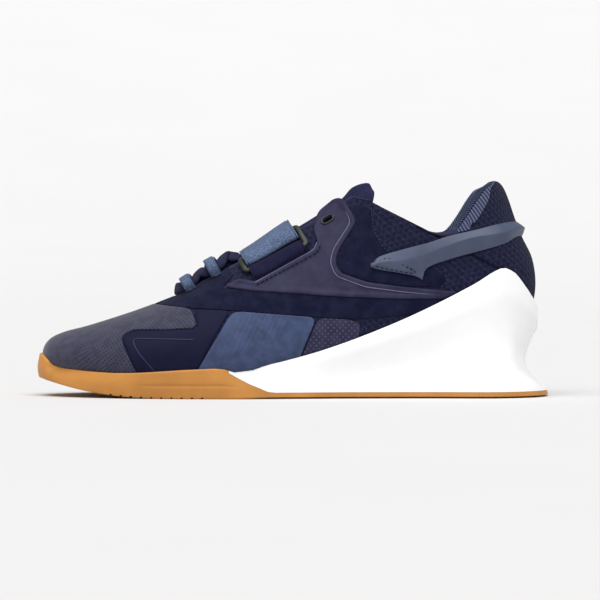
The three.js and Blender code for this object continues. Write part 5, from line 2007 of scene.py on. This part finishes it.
# Eyelet: bore, half of its straight run, and half width and height of its rim.
EYELET_RADIUS = 2.5
EYELET_RUN = 1.3
EYELET_RIM = (0.62, 0.5)


def build_eyelet():
    """A pressed oval rim round the top lace hole."""
    point, out = over_instep(*EYELET, 1.2)
    across = out.cross(instep_line).normalized()
    way = across.cross(out)
    points = []
    count, sides = 40, 8
    width, height = EYELET_RIM
    for i in range(count):
        angle = 2 * math.pi * i / count
        x = math.cos(angle) * EYELET_RADIUS + sign(math.cos(angle)) * EYELET_RUN
        centre = point + way * x + across * math.sin(angle) * EYELET_RADIUS
        outward = (way * math.cos(angle) + across * math.sin(angle)).normalized()
        for k in range(sides):
            turn = 2 * math.pi * k / sides
            points.append(centre + outward * math.cos(turn) * width + out * math.sin(turn) * height)
    faces = quads(count, sides, closed=True, looped=True)
    piece = make("eyelet_rim", points, faces, "acetal_moulded_olive")
    settle(piece, None, "ring_plastic")


# Stage

CAMERA_DISTANCE = 2.4
VIEW_WIDTH = 0.3528
ELEVATION = 1.0
AIM = (0.0041, 0, 0.0562)
FLOOR_RADIUS = 2.6
DISH_RADIUS = 9.0
DISH_RISE = 1.6
DISH_STEPS = 14
FLOOR_STEPS = 72
LIGHT_WAY = (-0.05, -0.38, 1.0)
LIGHT_STRENGTH = 3.6
LIGHT_SPREAD = 70
SKY_STRENGTH = 0.35


def build_stage():
    data = bpy.data.cameras.new("camera")
    data.sensor_width = 36
    data.lens = 36 * CAMERA_DISTANCE / VIEW_WIDTH
    data.clip_end = 20
    camera = bpy.data.objects.new("camera", data)
    tilt = math.radians(ELEVATION)
    aim = Vector(AIM)
    camera.location = aim + Vector((0, -math.cos(tilt), math.sin(tilt))) * CAMERA_DISTANCE
    camera.rotation_euler = (aim - camera.location).to_track_quat("-Z", "Y").to_euler()
    bpy.context.scene.collection.objects.link(camera)
    bpy.context.scene.camera = camera

    points = []
    profile = [(0.02, 0), (0.5, 0), (1.5, 0), (FLOOR_RADIUS, 0)]
    for k in range(1, DISH_STEPS + 1):
        share = k / DISH_STEPS
        profile.append((mix(FLOOR_RADIUS, DISH_RADIUS, share), DISH_RISE * share * share))
    for radius, z in profile:
        for k in range(FLOOR_STEPS):
            angle = 2 * math.pi * k / FLOOR_STEPS
            points.append(Vector((radius * math.cos(angle), radius * math.sin(angle), z)) / MM)
    faces = quads(len(profile), FLOOR_STEPS, closed=True) + cap(points[:FLOOR_STEPS], 0, True)
    floor = make("studio_floor", points, faces, "studio_board_pale", weld=False)
    floor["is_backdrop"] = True

    data = bpy.data.lights.new("soft_light", "SUN")
    data.energy = LIGHT_STRENGTH
    data.angle = math.radians(LIGHT_SPREAD)
    light = bpy.data.objects.new("soft_light", data)
    light.rotation_euler = Vector(LIGHT_WAY).to_track_quat("Z", "Y").to_euler()
    bpy.context.scene.collection.objects.link(light)
    world = bpy.data.worlds.new("studio")
    world.use_nodes = True
    world.node_tree.nodes["Background"].inputs["Color"].default_value = (1, 1, 1, 1)
    world.node_tree.nodes["Background"].inputs["Strength"].default_value = SKY_STRENGTH
    bpy.context.scene.world = world
    bpy.context.scene.view_settings.view_transform = "Standard"


# Add-on


SIZE = {"min": 0.0002, "max": 0.02, "unit": "LENGTH"}
COLOUR = {"min": 0, "max": 1, "subtype": "COLOR"}


class ShoeSizes(bpy.types.PropertyGroup):
    """Sizes and colours that a user would change."""

    stitch_length: bpy.props.FloatProperty(
        name="Stitch length", description="Length of one stitch of the overlays", default=0.002, **SIZE
    )
    lace_width: bpy.props.FloatProperty(
        name="Lace width", description="Width of the flat lace", default=0.0074, **SIZE
    )
    lace_thickness: bpy.props.FloatProperty(
        name="Lace thickness", description="Thickness of the flat lace", default=0.0026, **SIZE
    )
    hole_pitch: bpy.props.FloatProperty(
        name="Hole pitch", description="Distance between the holes of the toe cap", default=0.0019, **SIZE
    )
    knit_pitch: bpy.props.FloatProperty(
        name="Knit pitch", description="Distance between the cells of the knit", default=0.0036, **SIZE
    )
    rubber_colour: bpy.props.FloatVectorProperty(
        name="Rubber colour", description="Lightest tone of the sole",
        default=linear("#c38743")[:3], **COLOUR,
    )
    wedge_colour: bpy.props.FloatVectorProperty(
        name="Wedge colour", description="Lightest tone of the heel wedge",
        default=linear("#f6f6f7")[:3], **COLOUR,
    )
    knit_colour: bpy.props.FloatVectorProperty(
        name="Knit colour", description="Lightest tone of the knitted shell",
        default=linear("#2a2c47")[:3], **COLOUR,
    )
    band_colour: bpy.props.FloatVectorProperty(
        name="Heel band colour", description="Lightest tone of the heel band",
        default=linear("#454e67")[:3], **COLOUR,
    )


class SHOE_OT_finishes(bpy.types.Operator):
    """Makes every material"""

    bl_idname = "shoe.finishes"
    bl_label = "Finishes"

    def execute(self, context):
        dress()
        return {"FINISHED"}


class SHOE_OT_stage(bpy.types.Operator):
    """Sets the camera, lights and floor"""

    bl_idname = "shoe.stage"
    bl_label = "Stage"

    def execute(self, context):
        build_stage()
        return {"FINISHED"}


class SHOE_OT_sole(bpy.types.Operator):
    """Builds the rubber sole and the heel wedge"""

    bl_idname = "shoe.sole"
    bl_label = "Sole"

    def execute(self, context):
        build_sole()
        return {"FINISHED"}


class SHOE_OT_upper(bpy.types.Operator):
    """Builds the knitted shell and its padded collar"""

    bl_idname = "shoe.upper"
    bl_label = "Upper"

    def execute(self, context):
        build_upper()
        build_collar_ribs()
        build_collar_binding()
        return {"FINISHED"}


class SHOE_OT_panels(bpy.types.Operator):
    """Builds the overlays of the toe, vamp and sides"""

    bl_idname = "shoe.panels"
    bl_label = "Panels"

    def execute(self, context):
        build_toe_cap()
        build_vamp()
        for side, name in ((-1, "lateral"), (1, "medial")):
            build_side_panels(side, name)
        build_eyelet()
        return {"FINISHED"}


class SHOE_OT_heel_band(bpy.types.Operator):
    """Builds the moulded band round the heel"""

    bl_idname = "shoe.heel_band"
    bl_label = "Heel band"

    def execute(self, context):
        build_heel_band()
        return {"FINISHED"}


class SHOE_OT_inside(bpy.types.Operator):
    """Builds the tongue and the foot bed"""

    bl_idname = "shoe.inside"
    bl_label = "Tongue and foot bed"

    def execute(self, context):
        build_tongue()
        build_foot_bed()
        return {"FINISHED"}


class SHOE_OT_strap(bpy.types.Operator):
    """Builds the instep strap, its ring and the ring's webbing"""

    bl_idname = "shoe.strap"
    bl_label = "Strap"

    def execute(self, context):
        build_strap()
        build_ring()
        return {"FINISHED"}


class SHOE_OT_laces(bpy.types.Operator):
    """Builds the lace loops and the lace"""

    bl_idname = "shoe.laces"
    bl_label = "Laces"

    def execute(self, context):
        build_loops()
        build_laces()
        return {"FINISHED"}


class SHOE_OT_stitching(bpy.types.Operator):
    """Sews the overlays"""

    bl_idname = "shoe.stitching"
    bl_label = "Stitching"

    def execute(self, context):
        build_beads()
        build_stitching()
        return {"FINISHED"}


OPERATORS = (
    SHOE_OT_finishes,
    SHOE_OT_stage,
    SHOE_OT_sole,
    SHOE_OT_upper,
    SHOE_OT_panels,
    SHOE_OT_heel_band,
    SHOE_OT_inside,
    SHOE_OT_strap,
    SHOE_OT_laces,
    SHOE_OT_stitching,
)


class SHOE_PT_panel(bpy.types.Panel):
    """Lists the shoe's operators"""

    bl_label = "Weightlifting shoe"
    bl_space_type = "VIEW_3D"
    bl_region_type = "UI"
    bl_category = "Shoe"

    def draw(self, context):
        for operator in OPERATORS:
            self.layout.operator(operator.bl_idname)


CLASSES = (ShoeSizes, *OPERATORS, SHOE_PT_panel)


def register():
    for one in CLASSES:
        bpy.utils.register_class(one)
    bpy.types.Scene.shoe_sizes = bpy.props.PointerProperty(type=ShoeSizes)


def unregister():
    del bpy.types.Scene.shoe_sizes
    for one in reversed(CLASSES):
        bpy.utils.unregister_class(one)


def main():
    register()
    bpy.ops.shoe.finishes()
    bpy.ops.shoe.stage()
    bpy.ops.shoe.sole()
    bpy.ops.shoe.upper()
    bpy.ops.shoe.panels()
    bpy.ops.shoe.heel_band()
    bpy.ops.shoe.inside()
    bpy.ops.shoe.strap()
    bpy.ops.shoe.laces()
    bpy.ops.shoe.stitching()
    visual_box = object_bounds()
    sizes = {name: [list(map(float, corner)) for corner in box] for name, box in (("cad", cad_box), ("visual", visual_box))}


if __name__ == "__main__":
    main()
